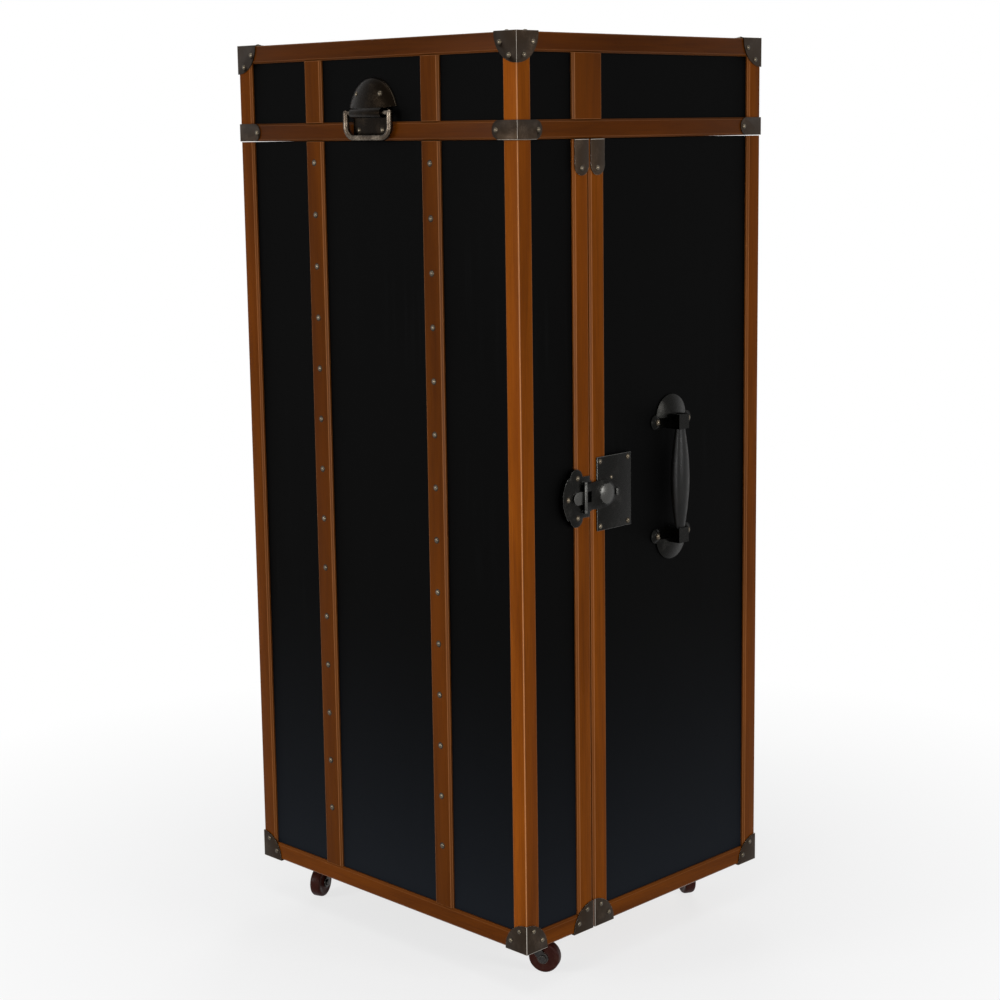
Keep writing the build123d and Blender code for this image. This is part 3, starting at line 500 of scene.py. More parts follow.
@dataclass(frozen=True)
class LeatherFinish:
    """Leather with a fine pebbled grain."""

    CELLS: ClassVar[float] = 720.0
    CELL_RANGE: ClassVar[tuple] = (0.0, 0.75)
    CLOUDS: ClassVar[Texture] = Texture(scale=34.0, detail=3.0, rough=0.6)
    CLOUD_RANGE: ClassVar[tuple] = (0.4, 0.75)
    CREASES: ClassVar[Texture] = Texture(scale=150.0, detail=3.0, rough=0.6, distortion=0.8)
    ROUGH_RANGE: ClassVar[tuple] = (0.3, 0.7)
    SMOOTHER: ClassVar[float] = 0.08
    ROUGHER: ClassVar[float] = 0.1
    PEBBLE_RELIEF: ClassVar[Relief] = Relief(0.00022, 0.4)
    CREASE_RELIEF: ClassVar[Relief] = Relief(0.0003, 0.25)

    name: str
    colour: Colour
    rubbed: Colour
    rough: float = 0.42
    specular: float = 0.3

    def build(self) -> bpy.types.Material:
        """Makes the material.

        Returns:
            The material.
        """
        graph = Graph(self.name)
        cells = graph.add("ShaderNodeTexVoronoi", Scale=self.CELLS)
        graph.link(graph.place(), cells.inputs["Vector"])
        pebble = graph.spread(cells.outputs["Distance"], *self.CELL_RANGE)
        clouds = graph.noise(self.CLOUDS)
        creases = graph.noise(self.CREASES)
        smooth, rough = self.rough - self.SMOOTHER, self.rough + self.ROUGHER
        graph.feed(
            Base_Color=graph.blend(graph.spread(clouds, *self.CLOUD_RANGE), self.colour, self.rubbed),
            Roughness=graph.spread(creases, *self.ROUGH_RANGE, smooth, rough),
            Specular_IOR_Level=self.specular,
            Normal=graph.bump(pebble, self.PEBBLE_RELIEF, graph.bump(creases, self.CREASE_RELIEF)),
        )
        return graph.material


@dataclass(frozen=True)
class MouldedFinish:
    """A hard moulded wheel with faint turning marks and road dust."""

    DUST: ClassVar[Texture] = Texture(scale=90.0, detail=4.0, rough=0.65)
    DUST_AND_REFLECTION_RANGE: ClassVar[tuple] = (0.5, 0.75, 0.0, 0.6)
    FINE: ClassVar[Texture] = Texture(scale=700.0, detail=2.0, rough=0.5)
    FINE_RELIEF: ClassVar[Relief] = Relief(0.00006, 0.3)
    ROUGH_RANGE: ClassVar[tuple] = (0.3, 0.7, 0.25, 0.5)
    SPECULAR: ClassVar[float] = 0.06

    name: str
    colour: Colour
    dust_and_reflection_colour: Colour

    def build(self) -> bpy.types.Material:
        """Makes the material.

        Returns:
            The material.
        """
        graph = Graph(self.name)
        dust_and_reflection = graph.noise(self.DUST)
        graph.feed(
            Base_Color=graph.blend(graph.spread(dust_and_reflection, *self.DUST_AND_REFLECTION_RANGE), self.colour, self.dust_and_reflection_colour),
            Roughness=graph.spread(dust_and_reflection, *self.ROUGH_RANGE),
            Specular_IOR_Level=self.SPECULAR,
            Normal=graph.bump(graph.noise(self.FINE), self.FINE_RELIEF),
        )
        return graph.material


@dataclass
class Finishes:
    """Every material of the trunk, made once."""

    band: bpy.types.Material = field(init=False)
    panel: bpy.types.Material = field(init=False)
    corner: bpy.types.Material = field(init=False)
    rivet: bpy.types.Material = field(init=False)
    latch: bpy.types.Material = field(init=False)
    bail: bpy.types.Material = field(init=False)
    ring: bpy.types.Material = field(init=False)
    iron: bpy.types.Material = field(init=False)
    knob: bpy.types.Material = field(init=False)
    grip: bpy.types.Material = field(init=False)
    desk_leather: bpy.types.Material = field(init=False)
    wheel: bpy.types.Material = field(init=False)
    inside: dict[Grain, bpy.types.Material] = field(init=False)

    def __post_init__(self) -> None:
        """Makes the materials."""
        self.make_boards()
        self.make_metals()
        self.grip = LeatherFinish(
            "black leather",
            colour=(0.0022, 0.0021, 0.0019),
            rubbed=(0.0050, 0.0044, 0.0036),
            rough=0.34,
            specular=0.16,
        ).build()
        self.desk_leather = LeatherFinish(
            "desk leather", colour=(0.075, 0.016, 0.010), rubbed=(0.12, 0.028, 0.016)
        ).build()
        self.wheel = MouldedFinish(
            "moulded wheel", colour=(0.031, 0.0072, 0.0048), dust_and_reflection_colour=(0.051, 0.025, 0.018)
        ).build()

    def make_boards(self) -> None:
        """Makes the woods and the covering of the panels."""
        self.band = WoodFinish(
            "banding wood",
            dark=(0.150, 0.034, 0.0012),
            light=(0.315, 0.080, 0.0032),
            grain=Grain.PAINTED_ON,
            rough=0.30,
            specular=0.03,
        ).build()
        self.panel = PanelFinish("panel covering").build()
        self.inside = {
            grain: WoodFinish(
                f"inside wood {grain.value}",
                dark=(0.20, 0.085, 0.026),
                light=(0.34, 0.165, 0.060),
                grain=grain,
                rough=0.42,
            ).build()
            for grain in (Grain.ALONG_X, Grain.ALONG_Y)
        }

    def make_metals(self) -> None:
        """Makes the metals."""
        # Each edge colour is a painted highlight on rounded edges and folds, partly real rubbing; the rivets'
        # is a painted shade at their foot.
        self.corner = MetalFinish(
            "corner brass",
            patina=(0.028, 0.0185, 0.0118),
            worn_and_highlit=(0.066, 0.047, 0.033),
            rough=0.34,
            edge=(0.46, 0.42, 0.37),
        ).build()
        self.rivet = MetalFinish(
            "rivet brass",
            patina=(0.085, 0.070, 0.050),
            worn_and_highlit=(0.17, 0.14, 0.10),
            rough=0.15,
            wear_and_highlight=0.8,
            dents=0.1,
            # Painted shade at the foot of each head.
            edge=(0.010, 0.007, 0.005),
        ).build()
        self.latch = MetalFinish(
            "blackened steel",
            patina=(0.0085, 0.0083, 0.0076),
            worn_and_highlit=(0.024, 0.023, 0.021),
            rough=0.27,
            wear_and_highlight=0.4,
            edge=(0.13, 0.128, 0.12),
        ).build()
        self.bail = MetalFinish(
            "cast bronze",
            patina=(0.0062, 0.0042, 0.0026),
            worn_and_highlit=(0.024, 0.017, 0.011),
            rough=0.26,
            edge=(0.13, 0.105, 0.075),
        ).build()
        self.ring = MetalFinish(
            "worn bronze", patina=(0.060, 0.046, 0.034), worn_and_highlit=(0.26, 0.215, 0.165), rough=0.24, wear_and_highlight=0.8
        ).build()
        self.iron = MetalFinish(
            "plated steel",
            patina=(0.030, 0.028, 0.027),
            worn_and_highlit=(0.085, 0.082, 0.080),
            rough=0.36,
            wear_and_highlight=0.6,
            dents=0.5,
        ).build()
        self.knob = MetalFinish(
            "turned brass",
            patina=(0.30, 0.21, 0.09),
            worn_and_highlit=(0.62, 0.46, 0.22),
            rough=0.26,
            wear_and_highlight=0.8,
            dents=0.3,
        ).build()


@dataclass(frozen=True)
class Sizes:
    """Where the main faces of the trunk lie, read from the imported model, and the wooden bands on them."""

    right: float
    front: float
    back: float
    door_back: float
    case_front: float
    base: float
    body_top: float
    lid_base: float
    top: float
    band: float = 0.006
    chamfer: float = 0.003
    ease: float = 0.0012
    corner: float = 0.030
    split: float = 0.032
    foot: float = 0.029
    lid: float = 0.0285
    slat: float = 0.040
    slat_offset: float = 0.1355
    lid_side_slat: float = 0.064
    square: float = 0.00001

    @classmethod
    def read(cls) -> "Sizes":
        """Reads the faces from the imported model.

        Returns:
            The sizes.
        """
        door_low, door_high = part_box("door_stiles")
        case_low, case_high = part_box("case_stiles")
        lid_low, lid_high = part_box("lid_stiles")
        return cls(
            right=door_high.x,
            front=door_low.y,
            back=case_high.y,
            door_back=door_high.y,
            case_front=case_low.y,
            base=door_low.z,
            body_top=door_high.z,
            lid_base=lid_low.z,
            top=lid_high.z,
        )

    @property
    def panel_x(self) -> float:
        """The outer face of the side panels."""
        return self.right - self.band

    @property
    def panel_front(self) -> float:
        """The outer face of the front panel."""
        return self.front + self.band

    @property
    def panel_back(self) -> float:
        """The outer face of the back panel."""
        return self.back - self.band


def make_object(
    name: str, shape: Shape, material: bpy.types.Material, sharp: float = SHARP
) -> bpy.types.Object:
    """Turns a shape into an object with smooth shading and sharp creases.

    Args:
        name: The name of the piece.
        shape: The shape, which is freed.
        material: Its material.
        sharp: The angle in degrees above which an edge stays sharp.

    Returns:
        The object.
    """
    mesh = bpy.data.meshes.new(name)
    shape.to_mesh(mesh)
    shape.free()
    mesh.materials.append(material)
    mesh.shade_smooth()
    mesh.set_sharp_from_angle(angle=math.radians(sharp))
    piece = bpy.data.objects.new(name, mesh)
    bpy.context.scene.collection.objects.link(piece)
    return piece


def join_shapes(shapes: Iterable[Shape]) -> Shape:
    """Puts several shapes into one.

    Args:
        shapes: The shapes, which are freed.

    Returns:
        One shape that holds them all.
    """
    whole = bmesh.new()
    whole.verts.layers.float_vector.new("grain")
    whole.verts.layers.float.new("tone")
    whole.faces.layers.float.new("edge")
    for shape in shapes:
        scratch = bpy.data.meshes.new("scratch")
        shape.to_mesh(scratch)
        shape.free()
        whole.from_mesh(scratch)
        bpy.data.meshes.remove(scratch)
    return whole


def edge_layer(shape: Shape) -> bmesh.types.BMLayerItem:
    """The layer that says how far each face takes the material's edge colour: a painted highlight on rounded
    edges, on metal partly real rubbing, and painted shade at the foot of the rivets.

    Args:
        shape: The shape.

    Returns:
        The layer, made where the shape has none.
    """
    return shape.faces.layers.float.get("edge") or shape.faces.layers.float.new("edge")


def soften(
    shape: Shape,
    radius: float,
    segments: int = 2,
    chosen: Callable[[bmesh.types.BMEdge], bool] = lambda edge: True,
) -> None:
    """Rounds the sharp edges of a shape, and marks the rounding for the edge colour, a painted highlight that
    on metal is partly real rubbing.

    Args:
        shape: The shape.
        radius: How far the rounding reaches.
        segments: The number of facets across the rounding.
        chosen: Says whether an edge is rounded.
    """
    limit = math.radians(ROUND_ABOVE)
    pairs = [edge for edge in shape.edges if len(edge.link_faces) == 2]
    edges = [edge for edge in pairs if edge.calc_face_angle(0.0) > limit and chosen(edge)]
    edge_layer(shape)
    made = bmesh.ops.bevel(
        shape,
        geom=edges,
        offset=radius,
        segments=segments,
        profile=FULLNESS,
        affect="EDGES",
        clamp_overlap=True,
        miter_outer="ARC",
    )
    layer = edge_layer(shape)
    # Painted highlight on the rounding, on metal partly real rubbing.
    for face in made["faces"]:
        face[layer] = 1.0


def prism(outline: Sequence[Vector], along: Vector, length: float) -> Shape:
    """A shape with a constant section.

    Args:
        outline: The corners of the section, in order.
        along: The direction that it is drawn out in.
        length: How far it is drawn out.

    Returns:
        The closed shape.
    """
    shape = bmesh.new()
    near = [shape.verts.new(point) for point in outline]
    far = [shape.verts.new(point + along * length) for point in outline]
    count = len(outline)
    for k in range(count):
        after = (k + 1) % count
        shape.faces.new((near[k], near[after], far[after], far[k]))
    shape.faces.new(reversed(near))
    shape.faces.new(far)
    bmesh.ops.recalc_face_normals(shape, faces=shape.faces)
    return shape


def lathe(profile: Sequence[tuple[float, float]], place: Matrix, steps: int) -> Shape:
    """A turned shape.

    Args:
        profile: Points of radius and height, from the axis or round a bore. The last point joins
            the first where neither lies on the axis.
        place: Puts the axis, which is the local Z, in its place.
        steps: The number of facets round the axis.

    Returns:
        The shape.
    """
    shape = bmesh.new()
    rings: list[list[bmesh.types.BMVert]] = []
    for radius, height in profile:
        turns = [2 * math.pi * k / steps for k in range(steps)] if radius > 0.0 else [0.0]
        spots = [Vector((radius * math.cos(a), radius * math.sin(a), height)) for a in turns]
        rings.append([shape.verts.new(place @ spot) for spot in spots])
    closed = len(rings[0]) > 1 and len(rings[-1]) > 1
    pairs = list(zip(rings, rings[1:])) + ([(rings[-1], rings[0])] if closed else [])
    for lower, upper in pairs:
        for k in range(steps):
            after = (k + 1) % steps
            ends = [(lower, k), (lower, after), (upper, after), (upper, k)]
            corners = list(dict.fromkeys(ring[step % len(ring)] for ring, step in ends))
            if len(corners) > 2:
                shape.faces.new(corners)
    bmesh.ops.recalc_face_normals(shape, faces=shape.faces)
    return shape


def facing(point: Vector, direction: Vector) -> Matrix:
    """A frame at a point whose Z looks along a direction.

    Args:
        point: The origin.
        direction: Where its Z looks.

    Returns:
        The frame.
    """
    return Matrix.Translation(point) @ direction.to_track_quat("Z", "Y").to_matrix().to_4x4()


def rivet_shape(point: Vector, direction: Vector, radius: float, height: float) -> Shape:
    """A domed head on a thin washer, darkened towards its foot as painted shade.

    Args:
        point: The middle of its seat.
        direction: Where it looks.
        radius: Its radius.
        height: Its height.

    Returns:
        The shape.
    """
    facets, steps, rim_share = 24, 8, 0.42
    washer = [(1.28, 0.0), (1.22, 0.09), (1.0, 0.13)]
    turns = [math.pi / 2 * k / steps for k in range(steps)]
    dome = [(math.cos(a), math.sin(a)) for a in turns]
    above = [(r, h) for r, h in dome if h > washer[-1][1]]
    outline = [(radius * r, height * h) for r, h in washer + above]
    shape = lathe([(0.0, 0.0), *outline, (0.0, height)], facing(point, direction), facets)
    # Painted shade: faces near the seat take the rivets' dark edge colour, fading out up the dome.
    layer = edge_layer(shape)
    for face in shape.faces:
        rise = (face.calc_center_median() - point).dot(direction) / height
        face[layer] = max(0.0, 1.0 - rise / rim_share)
    return shape


def islands(shape: Shape) -> list[list[bmesh.types.BMVert]]:
    """Finds the separate pieces of a shape.

    Args:
        shape: The shape.

    Returns:
        The points of each piece.
    """
    left = set(shape.verts)
    found = []
    for start in shape.verts:
        if start not in left:
            continue
        left.remove(start)
        island = [start]
        for vert in island:
            for link in vert.link_edges:
                other = link.other_vert(vert)
                if other in left:
                    left.remove(other)
                    island.append(other)
        found.append(island)
    return found


def rivets_like(node: str) -> list[Shape]:
    """Finely domed heads in the places of a node's heads.

    Args:
        node: The node.

    Returns:
        One shape for each head.
    """
    rim_share = 0.96
    source = bmesh.new()
    source.from_mesh(frame["nodes"][node].data)
    bmesh.ops.remove_doubles(source, verts=source.verts, dist=SAME_POINT)
    shapes = []
    for island in islands(source):
        points = [vert.co for vert in island]
        low = Vector([min(point[k] for point in points) for k in range(3)])
        high = Vector([max(point[k] for point in points) for k in range(3)])
        size = high - low
        thin = min(range(3), key=lambda k: size[k])
        wide = [k for k in range(3) if k != thin]
        middle = (low + high) / 2
        radius = max(size) / 2
        rim = [p[thin] for p in points if math.hypot(*(p[k] - middle[k] for k in wide)) > rim_share * radius]
        seat = middle.copy()
        seat[thin] = sum(rim) / len(rim)
        way = Vector((0.0, 0.0, 0.0))
        way[thin] = 1.0 if middle[thin] > seat[thin] else -1.0
        shapes.append(rivet_shape(seat, way, radius, size[thin]))
    source.free()
    return shapes


def at_fold(edge: bmesh.types.BMEdge, low: Vector, high: Vector, reach: float = 0.0003) -> bool:
    """Says whether an edge lies where two outer faces of a box meet.

    Args:
        edge: The edge.
        low: The low corner of the box.
        high: The high corner of the box.
        reach: How near it must lie.

    Returns:
        Whether it does.
    """
    count = 0
    for k in range(3):
        for side in (low[k], high[k]):
            if all(abs(vert.co[k] - side) < reach for vert in edge.verts):
                count += 1
    return count > 1


def rounded_copy(
    node: str, material: bpy.types.Material, radius: float, fold: float = 0.0, sharp: float = SHARP
) -> bpy.types.Object:
    """Replaces a node with a copy whose edges are rounded.

    Args:
        node: The node.
        material: The material of the copy.
        radius: How far the rounding reaches.
        fold: How far the rounding reaches where sheet metal folds round a corner, or 0 for none.
        sharp: The angle in degrees above which an edge stays sharp.

    Returns:
        The copy, on the node's body.
    """
    same_plane, shortest = math.radians(0.6), 0.0008
    source = frame["nodes"][node]
    shape = bmesh.new()
    shape.from_mesh(source.data)
    bmesh.ops.remove_doubles(shape, verts=shape.verts, dist=SAME_POINT)
    bmesh.ops.dissolve_limit(shape, angle_limit=same_plane, verts=shape.verts, edges=shape.edges)
    if fold:
        low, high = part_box(node)
        soften(shape, fold, 3, lambda edge: at_fold(edge, low, high))
    soften(shape, radius, chosen=lambda edge: not fold or edge.calc_length() > shortest)
    copy = make_object(f"{node}_dressed", shape, material, sharp)
    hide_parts(node)
    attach(copy, source["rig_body"])
    return copy


def repaint(node: str, material: bpy.types.Material) -> None:
    """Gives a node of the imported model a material.

    Args:
        node: The node.
        material: The material.
    """
    mesh = frame["nodes"][node].data
    mesh.materials.clear()
    mesh.materials.append(material)


@dataclass(frozen=True)
class Bar:
    """A wooden band on a panel, with two chamfered edges.

    Start is the middle of its foot on the panel, cuts are its two long edges, and tone is its share of
    the wood's full colour.
    """

    EASE: ClassVar[float] = 0.0005

    start: Vector
    along: Vector
    outward: Vector
    width: float
    length: float
    cuts: tuple[float, float]
    tone: float

    def shape(self, sizes: Sizes, chance: random.Random) -> Shape:
        """Makes the band.

        Args:
            sizes: The sizes of the trunk.
            chance: Where its grain starts in the log.

        Returns:
            The shape, with its grain painted on.
        """
        across = self.outward.cross(self.along)
        half = self.width / 2
        near, far = self.cuts
        corners = [
            (-half, 0.0),
            (half, 0.0),
            (half, sizes.band - far),
            (half - far, sizes.band),
            (near - half, sizes.band),
            (-half, sizes.band - near),
        ]
        outline = [self.start + across * u + self.outward * v for u, v in corners]
        shape = prism(outline, self.along, self.length)
        soften(shape, self.EASE)
        paint_grain(shape, self.along, across, chance, self.tone)
        return shape


@dataclass(frozen=True)
class EdgeHighlight:
    """How far the lighter edge colour, a painted highlight, shows on the edges of a board.

    A level board shows only a share of it. Faces that are slanted and narrower than narrow count as
    eased edges, and a face above marked is a rounding.
    """

    rounding: float = 0.42
    eased: float = 0.75
    chamfer: float = 0.1
    level: float = 0.3
    narrow: float = 0.002
    square_on: float = 0.95
    marked: float = 0.5

    def paint(self, shape: Shape, upright: bool) -> None:
        """Stores the painted highlight on the faces of a board.

        Args:
            shape: The board.
            upright: Whether the board stands.
        """
        worn_and_highlit = edge_layer(shape)
        # Painted highlight: the edges of a level board get only a share of it, those of an upright board all
        # of it.
        share = 1.0 if upright else self.level
        for face in shape.faces:
            slanted = max(abs(part) for part in face.normal) < self.square_on
            width = face.calc_area() / max(edge.calc_length() for edge in face.edges)
            if face[worn_and_highlit] > self.marked:
                face[worn_and_highlit] = self.rounding * share
            elif slanted:
                face[worn_and_highlit] = (self.eased if width < self.narrow else self.chamfer) * share


def paint_grain(shape: Shape, along: Vector, across: Vector, chance: random.Random, tone: float) -> None:
    """Stores on a board where it lay in the log, how dark it is, and how strongly its edges take a painted
    highlight.

    Args:
        shape: The board.
        along: The way that its fibres run.
        across: A way across them.
        chance: Where the board lay in the log.
        tone: The share of the wood's full colour.
    """
    log_length, log_width = 40, 9
    outward = along.cross(across)
    shift = Vector(
        (chance.uniform(0, log_length), chance.uniform(0, log_width), chance.uniform(0, log_width))
    )
    layer = shape.verts.layers.float_vector.new("grain")
    tones = shape.verts.layers.float.new("tone")
    for vert in shape.verts:
        spot = Vector((vert.co.dot(along), vert.co.dot(across), vert.co.dot(outward)))
        vert[layer] = spot + shift
        vert[tones] = tone
    EdgeHighlight().paint(shape, abs(along.z) > 0)


@dataclass
class Bands:
    """The wooden bands of the door, the case and the lid."""

    SLAT_TONE = 0.35
    SPLIT_TONE = 0.58
    FOOT_TONE = 0.45
    LID_TONE = 0.27
    CORNER_TONE = 0.44
    # Painted light on the front right corner: its front face, then its darker right face as painted shade.
    LIT_CORNER_TONES = (0.85, 0.64)
    EASE = 0.0004
    SIDE_REACH = 0.0005
    SEED = 11

    sizes: Sizes
    finishes: Finishes
    chance: random.Random = field(init=False)

    def __post_init__(self) -> None:
        """Starts the random draws."""
        self.chance = random.Random(self.SEED)

    def bar(
        self,
        start: Triple,
        along: Vector,
        outward: Vector,
        width: float,
        length: float,
        cuts: tuple[float, float] | None = None,
        tone: float = SLAT_TONE,
    ) -> Shape:
        """Makes one band.

        Args:
            start: The middle of its foot.
            along: The way that it runs.
            outward: The way that it stands out.
            width: Its width.
            length: Its length.
            cuts: Its two chamfers, or None for the usual ones.
            tone: The share of the wood's full colour.

        Returns:
            The shape.
        """
        sizes = self.sizes
        band = Bar(Vector(start), along, outward, width, length, cuts or (sizes.chamfer, sizes.chamfer), tone)
        return band.shape(sizes, self.chance)

    def slats(self, face_y: float, outward_y: int, low: float, high: float) -> list[Shape]:
        """The two upright slats on the front or the back.

        Args:
            face_y: Where the panel's face lies.
            outward_y: The way out of the trunk.
            low: Their feet.
            high: Their heads.

        Returns:
            The shapes.
        """
        sizes = self.sizes
        return [
            self.bar((side * sizes.slat_offset, face_y, low), Z, outward_y * Y, sizes.slat, high - low)
            for side in (-1, 1)
        ]

    def finish(self, name: str, shapes: list[Shape], body: str, *nodes: str) -> None:
        """Makes one piece of several bands and puts it on its body.

        Args:
            name: The name of the piece.
            shapes: The bands.
            body: The body that it rides on.
            nodes: The nodes that it stands for.
        """
        piece = make_object(name, join_shapes(shapes), self.finishes.band, FLAT_SHARP)
        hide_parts(*nodes)
        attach(piece, body)

    def corner(self, side: int, corner_y: float, low: float, high: float) -> Shape:
        """A wooden angle that wraps one upright corner. The one at the front right is lighter as painted
        light, and its right face less light than its front face as painted shade.

        Args:
            side: -1 on the left, 1 on the right.
            corner_y: Where the corner lies along Y.
            low: Its foot.
            high: Its head.

        Returns:
            The shape.
        """
        s = self.sizes
        inward = 1 if corner_y < 0 else -1
        legs = [
            (s.ease, 0.0),
            (s.corner - s.chamfer, 0.0),
            (s.corner, s.chamfer),
            (s.corner, s.band),
            (s.band, s.band),
            (s.band, s.corner),
            (s.chamfer, s.corner),
            (0.0, s.corner - s.chamfer),
            (0.0, s.ease),
        ]
        outline = [Vector((side * (s.right - a), corner_y + inward * b, low)) for a, b in legs]
        shape = prism(outline, Z, high - low)
        soften(shape, self.EASE)
        # Painted light: the front right corner is lighter, its right face less so as painted shade.
        light = side > 0 and corner_y < 0
        front_tone, side_tone = self.LIT_CORNER_TONES
        paint_grain(shape, Z, X, self.chance, front_tone if light else self.CORNER_TONE)
        tones = shape.verts.layers.float["tone"]
        for vert in shape.verts:
            if light and abs(vert.co.x - side * s.right) < self.SIDE_REACH:
                vert[tones] = side_tone
        return shape

    def half(self, corner_y: float, face_y: float, split_y: float, run: tuple[float, float]) -> list[Shape]:
        """The bands of the door or of the case.

        Args:
            corner_y: Where its outer corners lie along Y.
            face_y: Where the face of its outer panel lies.
            split_y: The middle of the bands beside the split.
            run: Where the rails of its sides start and end along Y.

        Returns:
            The shapes.
        """
        s = self.sizes
        outward = 1 if corner_y > 0 else -1
        low, high = run
        rail_z, height = s.base + s.foot / 2, s.body_top - s.base
        start = (s.corner - s.right, face_y, rail_z)
        shapes = self.slats(face_y, outward, s.base + s.foot, s.body_top)
        shapes.append(self.bar(start, X, outward * Y, s.foot, 2 * (s.right - s.corner), tone=self.FOOT_TONE))
        for side in (-1, 1):
            split, rail = (side * s.panel_x, split_y, s.base), (side * s.panel_x, low, rail_z)
            shapes.append(self.corner(side, corner_y, s.base, s.body_top))
            shapes.append(self.bar(split, Z, side * X, s.split, height, tone=self.SPLIT_TONE))
            shapes.append(self.bar(rail, Y, side * X, s.foot, high - low, tone=self.FOOT_TONE))
        return shapes

    def build_door(self) -> None:
        """Makes the bands of the door."""
        s = self.sizes
        run = (s.front + s.corner, s.door_back - s.split)
        shapes = self.half(s.front, s.panel_front, s.door_back - s.split / 2, run)
        self.finish("door_bands", shapes, "door", "door_slats", "door_rails", "door_stiles")

    def build_case(self) -> None:
        """Makes the bands of the case."""
        s = self.sizes
        run = (s.case_front + s.split, s.back - s.corner)
        shapes = self.half(s.back, s.panel_back, s.case_front + s.split / 2, run)
        self.finish("case_bands", shapes, "case", "case_rails", "case_stiles")

    def border(self) -> list[Shape]:
        """The bands on top of the lid.

        Returns:
            The shapes.
        """
        s = self.sizes
        width, floor = s.corner - s.band, s.top - s.band
        cuts = (s.square, s.chamfer)
        depth = s.back - s.front - 2 * s.corner
        runs = [
            (-s.panel_x, s.panel_front + width / 2, X, 2 * s.panel_x),
            (s.panel_x, s.panel_back - width / 2, -X, 2 * s.panel_x),
            (s.panel_x - width / 2, s.front + s.corner, Y, depth),
            (width / 2 - s.panel_x, s.back - s.corner, -Y, depth),
        ]
        shapes = [self.bar((x, y, floor), along, Z, width, length, cuts) for x, y, along, length in runs]
        for side in (-1, 1):
            shapes.append(self.bar((side * s.slat_offset, s.front + s.corner, floor), Y, Z, s.slat, depth))
        return shapes

    def build_lid(self) -> None:
        """Makes the bands of the lid."""
        s = self.sizes
        low, high = s.lid_base + s.lid, s.top - s.lid
        shapes = self.slats(s.panel_front, -1, low, high) + self.slats(s.panel_back, 1, low, high)
        slat_y = s.door_back - s.split + s.lid_side_slat / 2
        for side in (-1, 1):
            shapes.append(self.corner(side, s.front, s.lid_base, s.top))
            shapes.append(self.corner(side, s.back, s.lid_base, s.top))
            shapes.append(self.bar((side * s.panel_x, slat_y, low), Z, side * X, s.lid_side_slat, high - low))
        width, depth = 2 * (s.right - s.corner), s.back - s.front - 2 * s.corner
        runs = [
            (s.corner - s.right, s.panel_front, X, -Y, width),
            (s.panel_x, s.front + s.corner, Y, X, depth),
            (s.right - s.corner, s.panel_back, -X, Y, width),
            (-s.panel_x, s.back - s.corner, -Y, -X, depth),
        ]
        levels = [
            (s.lid_base + s.lid / 2, (s.chamfer, s.chamfer)),
            (s.top - s.lid / 2, (s.chamfer, s.ease)),
        ]
        for x, y, along, outward, length in runs:
            for z, cuts in levels:
                shapes.append(self.bar((x, y, z), along, outward, s.lid, length, cuts, self.LID_TONE))
        shapes.extend(self.border())
        self.finish("lid_bands", shapes, "lid", "lid_rails", "lid_stiles")


@dataclass
class Boards:
    """The panels, the shelves, the desk and the drawers."""

    ROUNDED: ClassVar[dict[str, Grain]] = {
        "desk_top": Grain.ALONG_X,
        "lid_tray": Grain.ALONG_X,
        "pigeonholes": Grain.ALONG_X,
        "drawer_dividers": Grain.ALONG_X,
        "case_floor": Grain.ALONG_X,
        "door_shelves": Grain.ALONG_X,
        "writing_leaf": Grain.ALONG_X,
        "loper_left": Grain.ALONG_Y,
        "loper_right": Grain.ALONG_Y,
        "drawer_1": Grain.ALONG_X,
        "drawer_2": Grain.ALONG_X,
        "drawer_3": Grain.ALONG_X,
    }
    COVERED = ("door_panel", "door_walls", "case_walls", "lid_top_panel", "lid_walls")
    BOARD_EASE = 0.0008
    LEATHER_EASE = 0.0003

    finishes: Finishes

    def build(self) -> None:
        """Rounds the boards and paints the panels."""
        for node, grain in self.ROUNDED.items():
            board = rounded_copy(node, self.finishes.inside[grain], self.BOARD_EASE, sharp=FLAT_SHARP)
        for node in self.COVERED:
            repaint(node, self.finishes.panel)
        leather = rounded_copy("leaf_leather", self.finishes.desk_leather, self.LEATHER_EASE)


@dataclass
class Metalwork:
    """The corners, straps, hinges, rivets and nails."""

    BRACKETS = ("case_brackets", "door_brackets", "lid_brackets")
    HINGES = (
        "door_hinges_fixed",
        "door_hinges_moving",
        "lid_hinges_fixed",
        "lid_hinges_moving",
        "leaf_hinges_fixed",
        "leaf_hinges_moving",
    )
    HEADS = ("case_rivets", "door_rivets", "lid_rivets", "door_nails")
    KNOBS = ("drawer_1_knobs", "drawer_2_knobs", "drawer_3_knobs", "leaf_knob")
    CASTER_PLATES = ("case_caster_plates", "door_caster_plates")
    EASE = 0.0003
    FOLD = 0.0007

    finishes: Finishes

    def build(self) -> None:
        """Rounds the sheet metal, domes the heads and paints the small parts."""
        for node in self.BRACKETS:
            bracket = rounded_copy(node, self.finishes.corner, self.EASE, fold=self.FOLD)
        for node in self.HINGES:
            repaint(node, self.finishes.corner)
        for node in self.HEADS:
            heads = make_object(f"{node}_domed", join_shapes(rivets_like(node)), self.finishes.rivet)
            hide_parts(node)
            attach(heads, frame["nodes"][node]["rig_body"])
        for node in self.KNOBS:
            repaint(node, self.finishes.knob)
        for node in self.CASTER_PLATES:
            repaint(node, self.finishes.iron)


def add_rivets(name: str, shapes: list[Shape], body: str, finishes: Finishes) -> None:
    """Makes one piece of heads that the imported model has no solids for.

    Args:
        name: The name of the piece.
        shapes: The heads.
        body: The body that it rides on.
        finishes: The materials.
    """
    rivets = make_object(name, join_shapes(shapes), finishes.rivet)
    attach(rivets, body)


